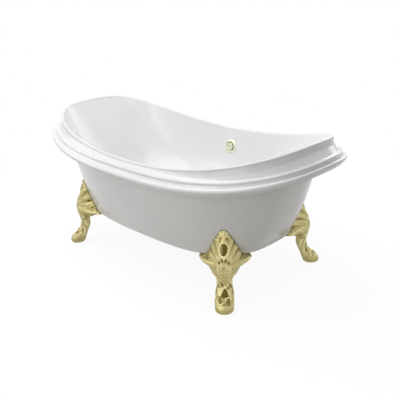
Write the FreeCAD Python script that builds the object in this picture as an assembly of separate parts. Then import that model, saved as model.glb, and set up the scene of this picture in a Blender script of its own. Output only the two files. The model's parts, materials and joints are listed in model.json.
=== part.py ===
import FreeCAD, Part
import math
import os

# Double-ended bathtub on four cast claw feet. Millimetres, +Z up. The origin is on the floor, under
# the middle of the tub. X runs along the tub, and +Y is the side that carries the overflow.
# The tub is alike end to end and side to side, so its shells are made as one quarter and mirrored.

V = FreeCAD.Vector

# ---- Driving dimensions: rim ----
RIM_LENGTH = 1830.0          # over the lower bead
RIM_WIDTH = 970.0            # over the lower bead
RIM_EXPONENT = 2.85          # squareness of the rim seen from above
LOWER_BEAD_RADIUS = 15.0
LOWER_BEAD_HEIGHT = 594.0    # bead centre at mid length
UPPER_BEAD_RADIUS = 9.0
UPPER_BEAD_INSET_END = 11.0  # upper bead centre inside the lower one, at the ends
UPPER_BEAD_INSET_SIDE = 23.0
UPPER_BEAD_STEP = 32.0       # upper bead centre above the lower one
RIM_RISE = 94.0              # how far the beads climb from the middle to the ends
RIM_RISE_POWER = 2.74
LIP_RADIUS = 8.0
LIP_INSET_END = 61.0         # lip centre inside the lower bead's centre, at the ends
LIP_INSET_SIDE = 68.0
LIP_EXPONENT = 3.1
LIP_STEP = 54.0              # lip centre above the lower bead's centre at mid length
LIP_RISE = 136.5
LIP_RISE_POWER = 2.09
RIM_RETURN = 14.0            # flat turned in under the lower bead
SHELL = 8.0                  # basin wall
RIM_SHELL = 6.0              # wall behind the beads and the band

# ---- Basin inside ----
END_LEAN = 0.42              # how far the ends lean in by the floor, as a share of the half length
SIDE_LEAN = 0.06
END_CORNER_POWER = 7.0       # the higher, the tighter the turn into the floor
SIDE_CORNER_POWER = 3.2
FLOOR_EXPONENT = 2.5

# ---- Outer skirt ----
GROUND_CLEARANCE = 222.5     # floor to the flat underside
SKIRT_INSET_END = 147.0      # wall inside the rim, under the soffit
SKIRT_INSET_SIDE = 45.0
SKIRT_TAPER_END = 162.0      # how much further in the wall is at its foot
SKIRT_TAPER_SIDE = 92.0
SKIRT_BASE_EXPONENT = 2.95
SKIRT_TOP_EXPONENT = 2.5
SKIRT_FLARE_POWER = 0.76     # under 1 the wall swells outwards low down
SKIRT_WALL = 5.0
SKIRT_EDGE_RADIUS = 6.0
SKIRT_COVE = 24.0            # hollow turn between the wall and the soffit
SKIRT_FLANGE = 95.0          # bottom flange, turned in

# ---- Frame and base board ----
PLATE_THICKNESS = 6.0
PLATE_DEPTH = 66.0           # across the corner
PLATE_WIDTH = 120.0
RAIL_WIDTH = 30.0
RAIL_HEIGHT = 25.0
RAIL_WALL = 2.0
RAIL_INSET_END = 66.0        # rail ends inside the skirt's lower edge
RAIL_INSET_SIDE = 158.0      # rail centres inside the skirt's lower edge
CROSSMEMBER_INSET = 35.0     # outer crossmembers from the rail ends
CROSSMEMBER_MIDDLE = 250.0   # inner crossmembers from mid length
BOARD_INSET = 90.0           # board ends from the rail ends
BOARD_OVERHANG = 10.0        # board beyond the rails, at the sides
BOARD_THICKNESS = 16.0
BOARD_CORNER = 30.0
BOARD_SCREW_RADIUS = 2.5
BOARD_SCREW_LENGTH = 22.0
BOARD_SCREW_HEAD = 5.0
BOARD_SCREW_INSET = 30.0     # outer screws from the board ends
BOARD_SCREW_MIDDLE = 150.0   # inner screws from mid length

# ---- Claw feet ----
FOOT_ANGLE = 50.5            # the way a foot points, from the X axis
LEAF_HEIGHT = 171.0          # leaf tip above the skirt's underside
LEAF_TIP = 6.0               # thickness of the leaf at its tip
LEAF_EDGE = 9.0              # thickness of the leaf along its edges
KNEE_DEPTH = 126.0           # knee in front of the skirt's lower edge
WING_SPAN = 260.0
LEAF_WALL = 9.0              # casting wall of the hollow leaf
LEG_WALL = 11.0              # casting wall of the hollow leg and knee
POCKET_SIDE = 1.4            # how much thicker the walls are towards the edges
NECK_WIDTH = 76.0
PAW_WIDTH = 94.0
PAW_REACH = 183.0            # toe in front of the skirt's lower edge
SHELF_DEPTH = 86.0           # shelf under the skirt, behind its edge
SHELF_WIDTH = 124.0
SHELF_THICKNESS = 14.0
FOOT_BOLT_RADIUS = 5.0
FOOT_BOLT_SPACING = 70.0
FOOT_BOLT_INSET = 47.0       # bolts behind the skirt's lower edge
WASHER_RADIUS = 10.0
WASHER_THICKNESS = 2.0
BOLT_HEAD_ACROSS = 17.0
BOLT_HEAD_HEIGHT = 6.4

# ---- Overflow ----
OVERFLOW_BELOW_LIP = 108.0   # overflow centre under the lip's centre at mid length
OVERFLOW_RING_RADIUS = 42.0
OVERFLOW_RING_THICKNESS = 6.0
OVERFLOW_SLEEVE_RADIUS = 28.0
OVERFLOW_SLEEVE_WALL = 2.0
OVERFLOW_SLEEVE_LENGTH = 16.0
OVERFLOW_BODY_RADIUS = 34.0
OVERFLOW_BODY_DEPTH = 31.0
OVERFLOW_BODY_WALL = 2.5
OVERFLOW_GASKET = 2.5
KNOB_RADIUS = 22.5
KNOB_HEIGHT = 12.0
KNOB_STAND_OFF = 4.0         # knob's underside above the wall
SPINDLE_RADIUS = 4.0
CAM_RADIUS = 14.0
CAM_THICKNESS = 5.0

# ---- Waste, stopper and hose ----
DRAIN_FLANGE_RADIUS = 35.0
DRAIN_FLANGE_THICKNESS = 3.0
DRAIN_RECESS = 2.0
DRAIN_SLEEVE_RADIUS = 24.0
DRAIN_SLEEVE_WALL = 3.0
DRAIN_SLEEVE_LENGTH = 32.0
WASTE_BODY_WALL = 4.0
WASTE_FLANGE_RADIUS = 41.0
WASTE_FLANGE_THICKNESS = 5.0
WASTE_BODY_LENGTH = 104.0
WASTE_SOCKET_LENGTH = 18.0
DRAIN_GASKET = 3.0
STOPPER_RADIUS = 31.0
STOPPER_THICKNESS = 5.0
STOPPER_DOME = 3.0
STOPPER_SEAL_RADIUS = 27.0
STOPPER_SEAL_THICKNESS = 2.5
STEM_RADIUS = 4.0
STEM_LENGTH = 46.0
LIFT_PIN_LENGTH = 40.0
TAIL_RADIUS = 20.0
TAIL_WALL = 2.0
TAIL_LENGTH = 58.0
TAIL_BEAD = 1.5
TAIL_WASHER = 3.0
HOSE_RADIUS = 13.0
HOSE_WALL = 2.5
HOSE_NUT_LENGTH = 24.0
HOSE_NUT_WALL = 3.0
SPIGOT_LENGTH = 22.0
ARM_WIDTH = 3.0              # arms of the guides and bearings
RIB_RADIUS = 2.0             # grip ribs of the tail nut
CABLE_RADIUS = 2.5
CABLE_OFFSET = 24.0          # cable beside the hose, at the overflow
NIPPLE_RADIUS = 5.0          # stub that a cable gland screws on to
OVERFLOW_NIPPLE = 4.0        # beyond the overflow body
WASTE_NIPPLE = 9.0           # beyond the waste body
GLAND_RADIUS = 7.0
GLAND_LENGTH = 11.0

# ---- Fits ----
SEAT_GAP = 0.3               # pieces that rest on each other
FOOT_GAP = 0.8               # cast feet against the curved skirt
GLUE_GAP = 0.8               # glue between the rim and the skirt's soffit
RUNNING_FIT = 0.06           # turning and sliding shafts, on the radius
BOLT_CLEARANCE = 0.5         # on the radius
THREAD_FIT = 0.05            # on the radius

# ---- Worked out from the above ----
QUARTER_STEPS = 24
SKIRT_SEAT = GROUND_CLEARANCE + SKIRT_WALL
RAIL_SEAT = SKIRT_SEAT + PLATE_THICKNESS
BOARD_SEAT = RAIL_SEAT + RAIL_HEIGHT
BASIN_SEAT = BOARD_SEAT + BOARD_THICKNESS + SEAT_GAP
FLOOR_HEIGHT = BASIN_SEAT + SHELL
SKIRT_TOP_LENGTH = RIM_LENGTH - 2 * SKIRT_INSET_END
SKIRT_TOP_WIDTH = RIM_WIDTH - 2 * SKIRT_INSET_SIDE
SKIRT_BASE_LENGTH = SKIRT_TOP_LENGTH - 2 * SKIRT_TAPER_END
SKIRT_BASE_WIDTH = SKIRT_TOP_WIDTH - 2 * SKIRT_TAPER_SIDE
RAIL_LENGTH = SKIRT_BASE_LENGTH - 2 * RAIL_INSET_END
RAIL_SPACING = SKIRT_BASE_WIDTH - 2 * RAIL_INSET_SIDE
BOARD_LENGTH = RAIL_LENGTH - 2 * BOARD_INSET
BOARD_WIDTH = RAIL_SPACING + RAIL_WIDTH + 2 * BOARD_OVERHANG
BEAD_HALF_LENGTH = RIM_LENGTH / 2 - LOWER_BEAD_RADIUS
BEAD_HALF_WIDTH = RIM_WIDTH / 2 - LOWER_BEAD_RADIUS
LIP_HALF_LENGTH = BEAD_HALF_LENGTH - LIP_INSET_END
LIP_HALF_WIDTH = BEAD_HALF_WIDTH - LIP_INSET_SIDE
LIP_HEIGHT = LOWER_BEAD_HEIGHT + LIP_STEP
BASIN_DEPTH = LIP_HEIGHT - FLOOR_HEIGHT
OVERFLOW_HEIGHT = LIP_HEIGHT - OVERFLOW_BELOW_LIP


# ---- Shells from level rings ----

class Ring:
    """One closed level line of a shell: a rounded rectangle whose height may vary along X."""

    def __init__(self, half_length, half_width, exponent, height):
        self.half_length = half_length
        self.half_width = half_width
        self.exponent = exponent
        self.height = height

    def moved(self, out, up):
        return Ring(self.half_length + out, self.half_width + out, self.exponent,
                    lambda x: self.height(x) + up)

    def round(self, radius, degrees):
        """The line of a bead of this radius, at an angle above the outward level direction."""
        angle = math.radians(degrees)
        return self.moved(radius * math.cos(angle), radius * math.sin(angle))

    def blended(self, other, out, down):
        """A line between this one and another, by separate shares in plan and in height."""
        def mix(first, second, share):
            return first + (second - first) * share
        return Ring(mix(self.half_length, other.half_length, out),
                    mix(self.half_width, other.half_width, out),
                    mix(self.exponent, other.exponent, out),
                    lambda x: mix(self.height(x), other.height(x), down))

    def point(self, angle):
        cosine = math.cos(angle)
        sine = math.sin(angle)
        reach = (abs(cosine) ** self.exponent + abs(sine) ** self.exponent) ** (-1 / self.exponent)
        x = self.half_length * reach * cosine
        return V(x, self.half_width * reach * sine, self.height(x))

    def quarter(self):
        """The line over the quarter where X and Y are positive, square to both planes."""
        angles = [math.pi / 2 * i / QUARTER_STEPS for i in range(QUARTER_STEPS + 1)]
        curve = Part.BSplineCurve()
        curve.interpolate(Points=[self.point(angle) for angle in angles], Parameters=angles,
                          InitialTangent=V(0, self.half_width, 0),
                          FinalTangent=V(-self.half_length, 0, 0))
        return curve.toShape()


def level(height):
    return lambda x: height


def smooth(rings):
    return Part.makeLoft([Part.Wire(ring.quarter()) for ring in rings], False, False).Faces


def ruled(rings):
    faces = []
    for first, second in zip(rings, rings[1:]):
        faces += Part.makeLoft([Part.Wire(first.quarter()), Part.Wire(second.quarter())],
                               False, True).Faces
    return faces


def cap(ring):
    """The flat floor inside a level ring, over one quarter."""
    edge = ring.quarter()
    start = edge.valueAt(edge.FirstParameter)
    end = edge.valueAt(edge.LastParameter)
    centre = V(0, 0, start.z)
    return [Part.Face(Part.Wire([edge, Part.makeLine(end, centre), Part.makeLine(centre, start)]))]


def four_quarters(faces):
    """Mirrors a quarter's faces into the whole shell and closes it to a solid."""
    half = faces + [face.mirror(V(0, 0, 0), V(1, 0, 0)) for face in faces]
    whole = half + [face.mirror(V(0, 0, 0), V(0, 1, 0)) for face in half]
    shell = Part.Compound(whole)
    shell.sewShape()
    solid = Part.Solid(shell.Shells[0] if shell.Shells else shell)
    if solid.Volume < 0:
        solid.reverse()
    return solid


# ---- The tub's own lines ----

def bead_height(x):
    rise = RIM_RISE * (abs(x) / BEAD_HALF_LENGTH) ** RIM_RISE_POWER
    return LOWER_BEAD_HEIGHT + rise


def lip_height(x):
    return LIP_HEIGHT + LIP_RISE * (abs(x) / LIP_HALF_LENGTH) ** LIP_RISE_POWER


def soffit_height(x):
    return bead_height(x) - LOWER_BEAD_RADIUS - GLUE_GAP


LOWER_BEAD = Ring(BEAD_HALF_LENGTH, BEAD_HALF_WIDTH, RIM_EXPONENT, bead_height)
UPPER_BEAD = Ring(BEAD_HALF_LENGTH - UPPER_BEAD_INSET_END, BEAD_HALF_WIDTH - UPPER_BEAD_INSET_SIDE,
                  RIM_EXPONENT, lambda x: bead_height(x) + UPPER_BEAD_STEP)
LIP = Ring(LIP_HALF_LENGTH, LIP_HALF_WIDTH, LIP_EXPONENT, lip_height)


def bowl_reach(depth, lean, power):
    """Share of the rim's reach that the bathing surface keeps at a share of the depth."""
    return (1 - lean * depth) * (1 - depth ** power) ** (1 / power)


def bowl_ring(depth, thickness):
    """The basin's wall at a share of its depth: its inside at thickness 0, else the outside."""
    rim = LIP.round(LIP_RADIUS, 180)
    step = 0.001
    reach = []
    slope = []
    for size, lean, power, drop in (
            (rim.half_length, END_LEAN, END_CORNER_POWER, BASIN_DEPTH + LIP_RISE),
            (rim.half_width, SIDE_LEAN, SIDE_CORNER_POWER, BASIN_DEPTH)):
        here = size * bowl_reach(depth, lean, power)
        lower = size * bowl_reach(min(depth + step, 1), lean, power)
        reach.append(here)
        slope.append(math.atan2(here - lower, drop * step))
    half_length = reach[0] + thickness * math.cos(slope[0])
    half_width = reach[1] + thickness * math.cos(slope[1])
    middle = LIP_HEIGHT - BASIN_DEPTH * depth - thickness * math.sin(slope[1])
    end = LIP_HEIGHT + LIP_RISE - (BASIN_DEPTH + LIP_RISE) * depth - thickness * math.sin(slope[0])
    exponent = LIP_EXPONENT + (FLOOR_EXPONENT - LIP_EXPONENT) * depth

    def height(x):
        return middle + (end - middle) * (abs(x) / half_length) ** LIP_RISE_POWER

    return Ring(half_length, half_width, exponent, height)


def bowl_floor(thickness):
    edge = bowl_ring(0.9995, 0)
    return Ring(edge.half_length, edge.half_width, edge.exponent, level(FLOOR_HEIGHT - thickness))


def skirt_ring(share, inset):
    """The skirt's wall at a share of its height, set in from the outside."""
    flare = share ** SKIRT_FLARE_POWER
    half_length = SKIRT_BASE_LENGTH + (SKIRT_TOP_LENGTH - SKIRT_BASE_LENGTH) * flare
    half_width = SKIRT_BASE_WIDTH + (SKIRT_TOP_WIDTH - SKIRT_BASE_WIDTH) * flare
    exponent = SKIRT_BASE_EXPONENT + (SKIRT_TOP_EXPONENT - SKIRT_BASE_EXPONENT) * share

    def height(x):
        top = soffit_height(x) - SKIRT_COVE - SKIRT_WALL
        return GROUND_CLEARANCE + (top - GROUND_CLEARANCE) * share

    return Ring(half_length / 2 - inset, half_width / 2 - inset, exponent, height)


def skirt_cove(radius, degrees):
    """The hollow turn over the skirt's wall, from the wall (180) to the soffit (90)."""
    centre = skirt_ring(1.0, 0).moved(SKIRT_COVE, 0)
    return centre.round(radius, degrees)


WALL_SHARES = (0.03, 0.1, 0.2, 0.32, 0.45, 0.6, 0.75, 0.88, 1.0)
BOWL_SHARES = (0.08, 0.2, 0.34, 0.48, 0.6, 0.71, 0.8, 0.87, 0.92, 0.96, 0.985)


def line_at(height, ring_at):
    """The line of a wall, given by shares of its height or depth, at a height at mid length."""
    low = 0.0
    high = 1.0
    rising = ring_at(1.0).height(0) > ring_at(0.0).height(0)
    for _ in range(40):
        middle = (low + high) / 2
        if (ring_at(middle).height(0) < height) == rising:
            low = middle
        else:
            high = middle
    return ring_at(low)


def basin_half_width(height, thickness):
    return line_at(height, lambda share: bowl_ring(min(share, 0.999), thickness)).half_width


def skirt_half_width(height):
    return line_at(height, lambda share: skirt_ring(share, SKIRT_WALL)).half_width


# ---- Placing helpers ----

def cylinder(radius, bottom, top):
    return Part.makeCylinder(radius, top - bottom, V(0, 0, bottom))


def tube(outer, inner, bottom, top):
    return cylinder(outer, bottom, top).cut(cylinder(inner, bottom, top))


def spokes(reach, width, bottom, top, count):
    """Flat bars from the middle out to a radius."""
    bars = []
    for i in range(count):
        bar = Part.makeBox(reach, width, top - bottom, V(0, -width / 2, bottom))
        bar.rotate(V(0, 0, 0), V(0, 0, 1), 360.0 * i / count + 90)
        bars.append(bar)
    return bars[0].multiFuse(bars[1:])


def turned(outline):
    """A solid turned about Z from radius and height pairs, in order round its section."""
    points = [V(radius, 0, height) for radius, height in outline]
    face = Part.Face(Part.makePolygon(points + [points[0]]))
    return face.revolve(V(0, 0, 0), V(0, 0, 1), 360)


def hexagon(across, bottom, top):
    corner = across / 2 / math.cos(math.pi / 6)
    points = [V(corner * math.cos(math.pi / 3 * i), corner * math.sin(math.pi / 3 * i), bottom)
              for i in range(7)]
    return Part.Face(Part.makePolygon(points)).extrude(V(0, 0, top - bottom))


def each_corner(shape):
    """The four mirror images of a shape made in the corner where X and Y are positive."""
    copies = []
    for flip_x, flip_y in ((False, False), (True, False), (False, True), (True, True)):
        copy = shape
        if flip_x:
            copy = copy.mirror(V(0, 0, 0), V(1, 0, 0))
        if flip_y:
            copy = copy.mirror(V(0, 0, 0), V(0, 1, 0))
        copies.append(copy)
    return copies


def rounded_path(points):
    """Straight runs joined by tangent arcs, each as large as its two runs allow."""
    edges = []
    last = points[0]
    for before, corner, after in zip(points, points[1:], points[2:]):
        back = (before - corner).normalize()
        ahead = (after - corner).normalize()
        turn = math.pi - back.getAngle(ahead)
        cut = 0.45 * min((before - corner).Length, (after - corner).Length)
        radius = cut / math.tan(turn / 2)
        start = corner + back * cut
        end = corner + ahead * cut
        inward = (back + ahead).normalize()
        centre = corner + inward * (radius / math.cos(turn / 2))
        middle = centre + (corner - centre).normalize() * radius
        edges.append(Part.LineSegment(last, start).toShape())
        edges.append(Part.Arc(start, middle, end).toShape())
        last = end
    edges.append(Part.LineSegment(last, points[-1]).toShape())
    return Part.Wire(edges)


def pipe(path, radius):
    start = path.Edges[0]
    direction = start.tangentAt(start.FirstParameter)
    circle = Part.Wire(Part.makeCircle(radius, start.valueAt(start.FirstParameter), direction))
    return path.makePipeShell([circle], True, False)


# ---- Overflow frame: local +Z points out of the wall into the tub, local +Y points up it ----

OVERFLOW_DEPTH = OVERFLOW_BELOW_LIP / BASIN_DEPTH
OVERFLOW_WALL = bowl_ring(OVERFLOW_DEPTH, 0).half_width
OVERFLOW_TILT = math.degrees(math.atan2(
    bowl_ring(OVERFLOW_DEPTH - 0.02, 0).half_width - bowl_ring(OVERFLOW_DEPTH + 0.02, 0).half_width,
    0.04 * BASIN_DEPTH))
OVERFLOW_FRAME = FreeCAD.Placement(V(0, OVERFLOW_WALL, OVERFLOW_HEIGHT),
                                   FreeCAD.Rotation(V(1, 0, 0), 90 - OVERFLOW_TILT))
OVERFLOW_SEAT = -1.0                        # flat cut in the wall for the ring
OVERFLOW_BACK = -(SHELL - 1.0)              # flat cut behind the wall for the gasket
OVERFLOW_BODY_FRONT = OVERFLOW_BACK - OVERFLOW_GASKET
OVERFLOW_BODY_REAR = OVERFLOW_BODY_FRONT - OVERFLOW_BODY_DEPTH
HOSE_AXIS = OVERFLOW_BODY_REAR + OVERFLOW_BODY_WALL + HOSE_RADIUS
SPIGOT_END = OVERFLOW_BODY_RADIUS + SPIGOT_LENGTH
OVERFLOW_NIPPLE_END = OVERFLOW_BODY_RADIUS + OVERFLOW_NIPPLE


def on_wall(shape):
    placed = shape.copy()
    placed.Placement = OVERFLOW_FRAME
    return placed


# ---- Basin and skirt ----

def basin():
    wall = [bowl_ring(share, 0) for share in reversed(BOWL_SHARES)]
    inside = smooth([bowl_floor(0)] + wall + [LIP.round(LIP_RADIUS, 180)])
    lip = smooth([LIP.round(LIP_RADIUS, degrees) for degrees in (180, 140, 100, 60, 20, -30)])
    lip_foot = LIP.round(LIP_RADIUS, -30)
    band_foot = UPPER_BEAD.round(UPPER_BEAD_RADIUS, 120)
    band = smooth([lip_foot, lip_foot.blended(band_foot, 0.16, 0.42),
                   lip_foot.blended(band_foot, 0.5, 0.8), band_foot])
    upper = smooth([UPPER_BEAD.round(UPPER_BEAD_RADIUS, d) for d in (120, 80, 40, 0, -40)])
    step = ruled([UPPER_BEAD.round(UPPER_BEAD_RADIUS, -40), LOWER_BEAD.round(LOWER_BEAD_RADIUS, 105)])
    lower = smooth([LOWER_BEAD.round(LOWER_BEAD_RADIUS, d) for d in (105, 70, 35, 0, -30, -60, -90)])
    bottom = LOWER_BEAD.round(LOWER_BEAD_RADIUS, -90)
    inner_radius = LOWER_BEAD_RADIUS - RIM_SHELL
    behind_lower = [LOWER_BEAD.round(inner_radius, d) for d in (-90, -30, 30, 105)]
    behind_upper = UPPER_BEAD.round(UPPER_BEAD_RADIUS - RIM_SHELL, 180)
    under_lip = LIP.moved(2.0, -2 * LIP_RADIUS)
    back = ruled([bottom, bottom.moved(-RIM_RETURN, 0), bottom.moved(-RIM_RETURN, RIM_SHELL)]
                 + behind_lower + [behind_upper, under_lip, bowl_ring(BOWL_SHARES[0], SHELL)])
    outside = smooth([bowl_ring(share, SHELL) for share in BOWL_SHARES] + [bowl_floor(SHELL)])
    floors = cap(bowl_floor(0)) + cap(bowl_floor(SHELL))
    body = four_quarters(inside + lip + band + upper + step + lower + back + outside + floors)
    seat = cylinder(OVERFLOW_RING_RADIUS + SEAT_GAP, OVERFLOW_SEAT, SHELL)
    hole = cylinder(OVERFLOW_SLEEVE_RADIUS + BOLT_CLEARANCE, -2 * SHELL, SHELL)
    rear = cylinder(OVERFLOW_BODY_RADIUS + 2.0, -2 * SHELL, OVERFLOW_BACK)
    body = body.cut([on_wall(seat), on_wall(hole), on_wall(rear)])
    recess = cylinder(DRAIN_FLANGE_RADIUS + SEAT_GAP, FLOOR_HEIGHT - DRAIN_RECESS, FLOOR_HEIGHT + SHELL)
    drain = cylinder(DRAIN_SLEEVE_RADIUS + BOLT_CLEARANCE, BASIN_SEAT - SHELL, FLOOR_HEIGHT + SHELL)
    return body.cut([recess, drain])


def skirt_outside(gap):
    """Lines of the skirt's outer face from its flat underside up, pushed out by a gap."""
    centre = skirt_ring(0, SKIRT_EDGE_RADIUS)
    centre = Ring(centre.half_length, centre.half_width, centre.exponent,
                  level(GROUND_CLEARANCE + SKIRT_EDGE_RADIUS))
    edge = [centre.round(SKIRT_EDGE_RADIUS + gap, degrees) for degrees in (-90, -60, -30)]
    return edge + [skirt_ring(share, 0).moved(gap, -gap) for share in WALL_SHARES]


def skirt():
    outside = skirt_outside(0)
    soffit_edge = LOWER_BEAD.moved(-SEAT_GAP, 0)
    soffit_top = Ring(soffit_edge.half_length, soffit_edge.half_width, soffit_edge.exponent,
                      soffit_height)
    outer = smooth(outside)
    cove = smooth([skirt_cove(SKIRT_COVE, d) for d in (180, 150, 120, 90)])
    inner_cove = smooth([skirt_cove(SKIRT_COVE + SKIRT_WALL, d) for d in (90, 120, 150, 180)])
    soffit = ruled([skirt_cove(SKIRT_COVE, 90), soffit_top.moved(0, -SKIRT_WALL), soffit_top,
                    skirt_cove(SKIRT_COVE + SKIRT_WALL, 90)])
    inner = smooth([skirt_ring(share, SKIRT_WALL) for share in reversed(WALL_SHARES)])
    inner_foot = skirt_ring(0, SKIRT_WALL).moved(0, SKIRT_WALL)
    opening = skirt_ring(0, SKIRT_FLANGE)
    base = ruled([skirt_ring(WALL_SHARES[0], SKIRT_WALL), inner_foot, opening.moved(0, SKIRT_WALL),
                  opening, outside[0]])
    body = four_quarters(outer + cove + soffit + inner_cove + inner + base)
    holes = [hole for bolt in foot_bolt_places()
             for hole in each_corner(Part.makeCylinder(FOOT_BOLT_RADIUS + BOLT_CLEARANCE, 3 * SKIRT_WALL,
                                                       bolt + V(0, 0, GROUND_CLEARANCE - SKIRT_WALL)))]
    return body.cut(holes)


# ---- Claw feet, made in the corner where X and Y are positive ----

def foot_corner():
    """The point of the skirt's lower edge whose outward direction is the foot's."""
    base = skirt_ring(0, 0)
    power = base.exponent
    slope = (math.tan(math.radians(FOOT_ANGLE)) ** (1 / (power - 1))
             * (base.half_width / base.half_length) ** (power / (power - 1)))
    x = ((1 / base.half_length) ** power + (slope / base.half_width) ** power) ** (-1 / power)
    return V(x, slope * x, 0)


FOOT_CORNER = foot_corner()
FOOT_OUT = V(math.cos(math.radians(FOOT_ANGLE)), math.sin(math.radians(FOOT_ANGLE)), 0)
FOOT_ACROSS = V(-FOOT_OUT.y, FOOT_OUT.x, 0)


def foot_point(out, across, height):
    return FOOT_CORNER + FOOT_OUT * out + FOOT_ACROSS * across + V(0, 0, height)


def foot_bolt_places():
    return [foot_point(-FOOT_BOLT_INSET, side * FOOT_BOLT_SPACING / 2, 0) for side in (-1, 1)]


def skirt_reach(across, height):
    """How far the skirt's face lies in front of the foot's corner, at a height."""
    low = -300.0
    high = 300.0
    for _ in range(40):
        out = (low + high) / 2
        place = foot_point(out, across, height)
        top = soffit_height(place.x) - SKIRT_COVE - SKIRT_WALL
        share = max(0.0, (height - GROUND_CLEARANCE) / (top - GROUND_CLEARANCE))
        ring = skirt_ring(min(share, 1.0), 0)
        inside = ((abs(place.x) / ring.half_length) ** ring.exponent
                  + (abs(place.y) / ring.half_width) ** ring.exponent)
        if inside < 1:
            low = out
        else:
            high = out
    return out


def foot_section(front, side, back, half_width, pinch, height):
    """A closed level section; pinch over 1 draws the front in towards thin edges."""
    points = []
    for i in range(24):
        angle = 2 * math.pi * i / 24
        cosine = math.cos(angle)
        depth = (front - side) if cosine > 0 else (side - back)
        power = pinch if cosine > 0 else 1.0
        out = side + math.copysign(abs(cosine) ** power, cosine) * depth
        points.append(foot_point(out, half_width * math.sin(angle), height))
    curve = Part.BSplineCurve()
    curve.interpolate(Points=points, PeriodicFlag=True)
    return Part.Wire(curve.toShape())


# Leg: share of the ground clearance, front and back as shares of the paw's reach, and the width as
# a share of the way from the neck's half width to the paw's.
LEG = ((0.0, 0.94, 0.57, 0.0), (0.02, 0.985, 0.53, 0.45), (0.08, 1.0, 0.5, 0.9),
       (0.16, 0.95, 0.465, 1.0), (0.26, 0.83, 0.42, 1.0), (0.36, 0.7, 0.37, 0.7),
       (0.46, 0.63, 0.32, 0.25), (0.56, 0.605, 0.3, 0.0), (0.66, 0.61, 0.3, 0.0))
# Under the skirt: share of the ground clearance, front as a share of the knee's depth, how far the
# section's sides and back lie behind the knee's depth, the half width between neck and wing, pinch.
KNEE = ((0.75, 0.92, 0.42, 0.66, 0.17, 1.0), (0.84, 0.97, 0.7, 0.95, 0.42, 1.2),
        (0.92, 1.0, 0.98, 1.35, 0.7, 1.5))
# On the skirt: share of the leaf's height, and the half width as a share of the wing's.
LEAF = ((-0.02, 1.0), (0.05, 0.86), (0.13, 0.7), (0.22, 0.615), (0.36, 0.54), (0.52, 0.455),
        (0.68, 0.36), (0.82, 0.24), (0.93, 0.14), (1.0, 0.05))
LEAF_PINCH = 1.5


def leaf_front(share, height):
    bulge = LEAF_TIP + (KNEE_DEPTH - LEAF_TIP) * (1 - max(share, 0.0)) ** 1.05
    return skirt_reach(0, height) + bulge


def leg_sections(wall, lowest):
    """Level sections of the leg and knee from a share of their height, set in by a wall."""
    sections = []
    for share, front, back, widen in LEG:
        front = front * PAW_REACH - wall
        back = back * PAW_REACH + wall
        half_width = (NECK_WIDTH + (PAW_WIDTH - NECK_WIDTH) * widen) / 2 - wall
        if share == 0:
            half_width -= LEAF_EDGE
        if share >= lowest:
            sections.append(foot_section(front, (front + back) / 2, back, half_width, 0.8,
                                         share * GROUND_CLEARANCE))
    for share, front, side, back, widen, pinch in KNEE:
        half_width = (NECK_WIDTH + (WING_SPAN - NECK_WIDTH) * widen) / 2
        back = (1 - back) * KNEE_DEPTH
        if wall:
            back = max(back, 0.0) + wall
        sections.append(foot_section(front * KNEE_DEPTH - wall, max((1 - side) * KNEE_DEPTH, back), back,
                                     half_width - POCKET_SIDE * wall, pinch, share * GROUND_CLEARANCE))
    return sections


def leaf_sections(wall, back, lowest, highest):
    """Level sections of the leaf that lies on the skirt, between two shares of its height."""
    sections = []
    for share, width in LEAF:
        if lowest <= share <= highest:
            height = GROUND_CLEARANCE + share * LEAF_HEIGHT
            half_width = width * WING_SPAN / 2
            side = skirt_reach(half_width, height) + LEAF_EDGE - wall
            sections.append(foot_section(leaf_front(share, height) - wall, max(side, back), back,
                                         half_width - POCKET_SIDE * wall, LEAF_PINCH, height))
    return sections


def skirt_envelope():
    """The space the skirt fills, a little larger all round, for trimming the feet."""
    wall = skirt_outside(FOOT_GAP)
    top = Ring(wall[-1].half_length / 3, wall[-1].half_width / 3, wall[-1].exponent,
               level(GROUND_CLEARANCE + LEAF_HEIGHT))
    return four_quarters(cap(wall[0]) + smooth(wall) + ruled([wall[-1], top]) + cap(top))


def claw_foot():
    casting = Part.makeLoft(leg_sections(0, 0) + leaf_sections(0, -SHELF_DEPTH, -1, 1), True, False)
    leaf_pocket = Part.makeLoft(leaf_sections(LEAF_WALL, -SHELF_DEPTH, 0.1, 0.8), True, False)
    leg_pocket = Part.makeLoft(leg_sections(LEG_WALL, 0.2) + leaf_sections(LEG_WALL, LEG_WALL, -0.1, 0.3),
                               True, False)
    shelf_top = GROUND_CLEARANCE - FOOT_GAP
    corners = [foot_point(out, across, shelf_top - SHELF_THICKNESS)
               for out, across in ((-SHELF_DEPTH, -SHELF_WIDTH / 2), (0.5 * KNEE_DEPTH, -NECK_WIDTH / 2),
                                   (0.5 * KNEE_DEPTH, NECK_WIDTH / 2), (-SHELF_DEPTH, SHELF_WIDTH / 2))]
    shelf = Part.Face(Part.makePolygon(corners + [corners[0]])).extrude(V(0, 0, SHELF_THICKNESS))
    casting = casting.fuse(shelf)
    holes = [Part.makeCylinder(FOOT_BOLT_RADIUS + BOLT_CLEARANCE, GROUND_CLEARANCE, place)
             for place in foot_bolt_places()]
    under = [Part.makeCylinder(WASHER_RADIUS + 2.0, shelf_top - SHELF_THICKNESS, place)
             for place in foot_bolt_places()]
    return casting.cut([leaf_pocket, leg_pocket, skirt_envelope()] + holes + under)


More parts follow.
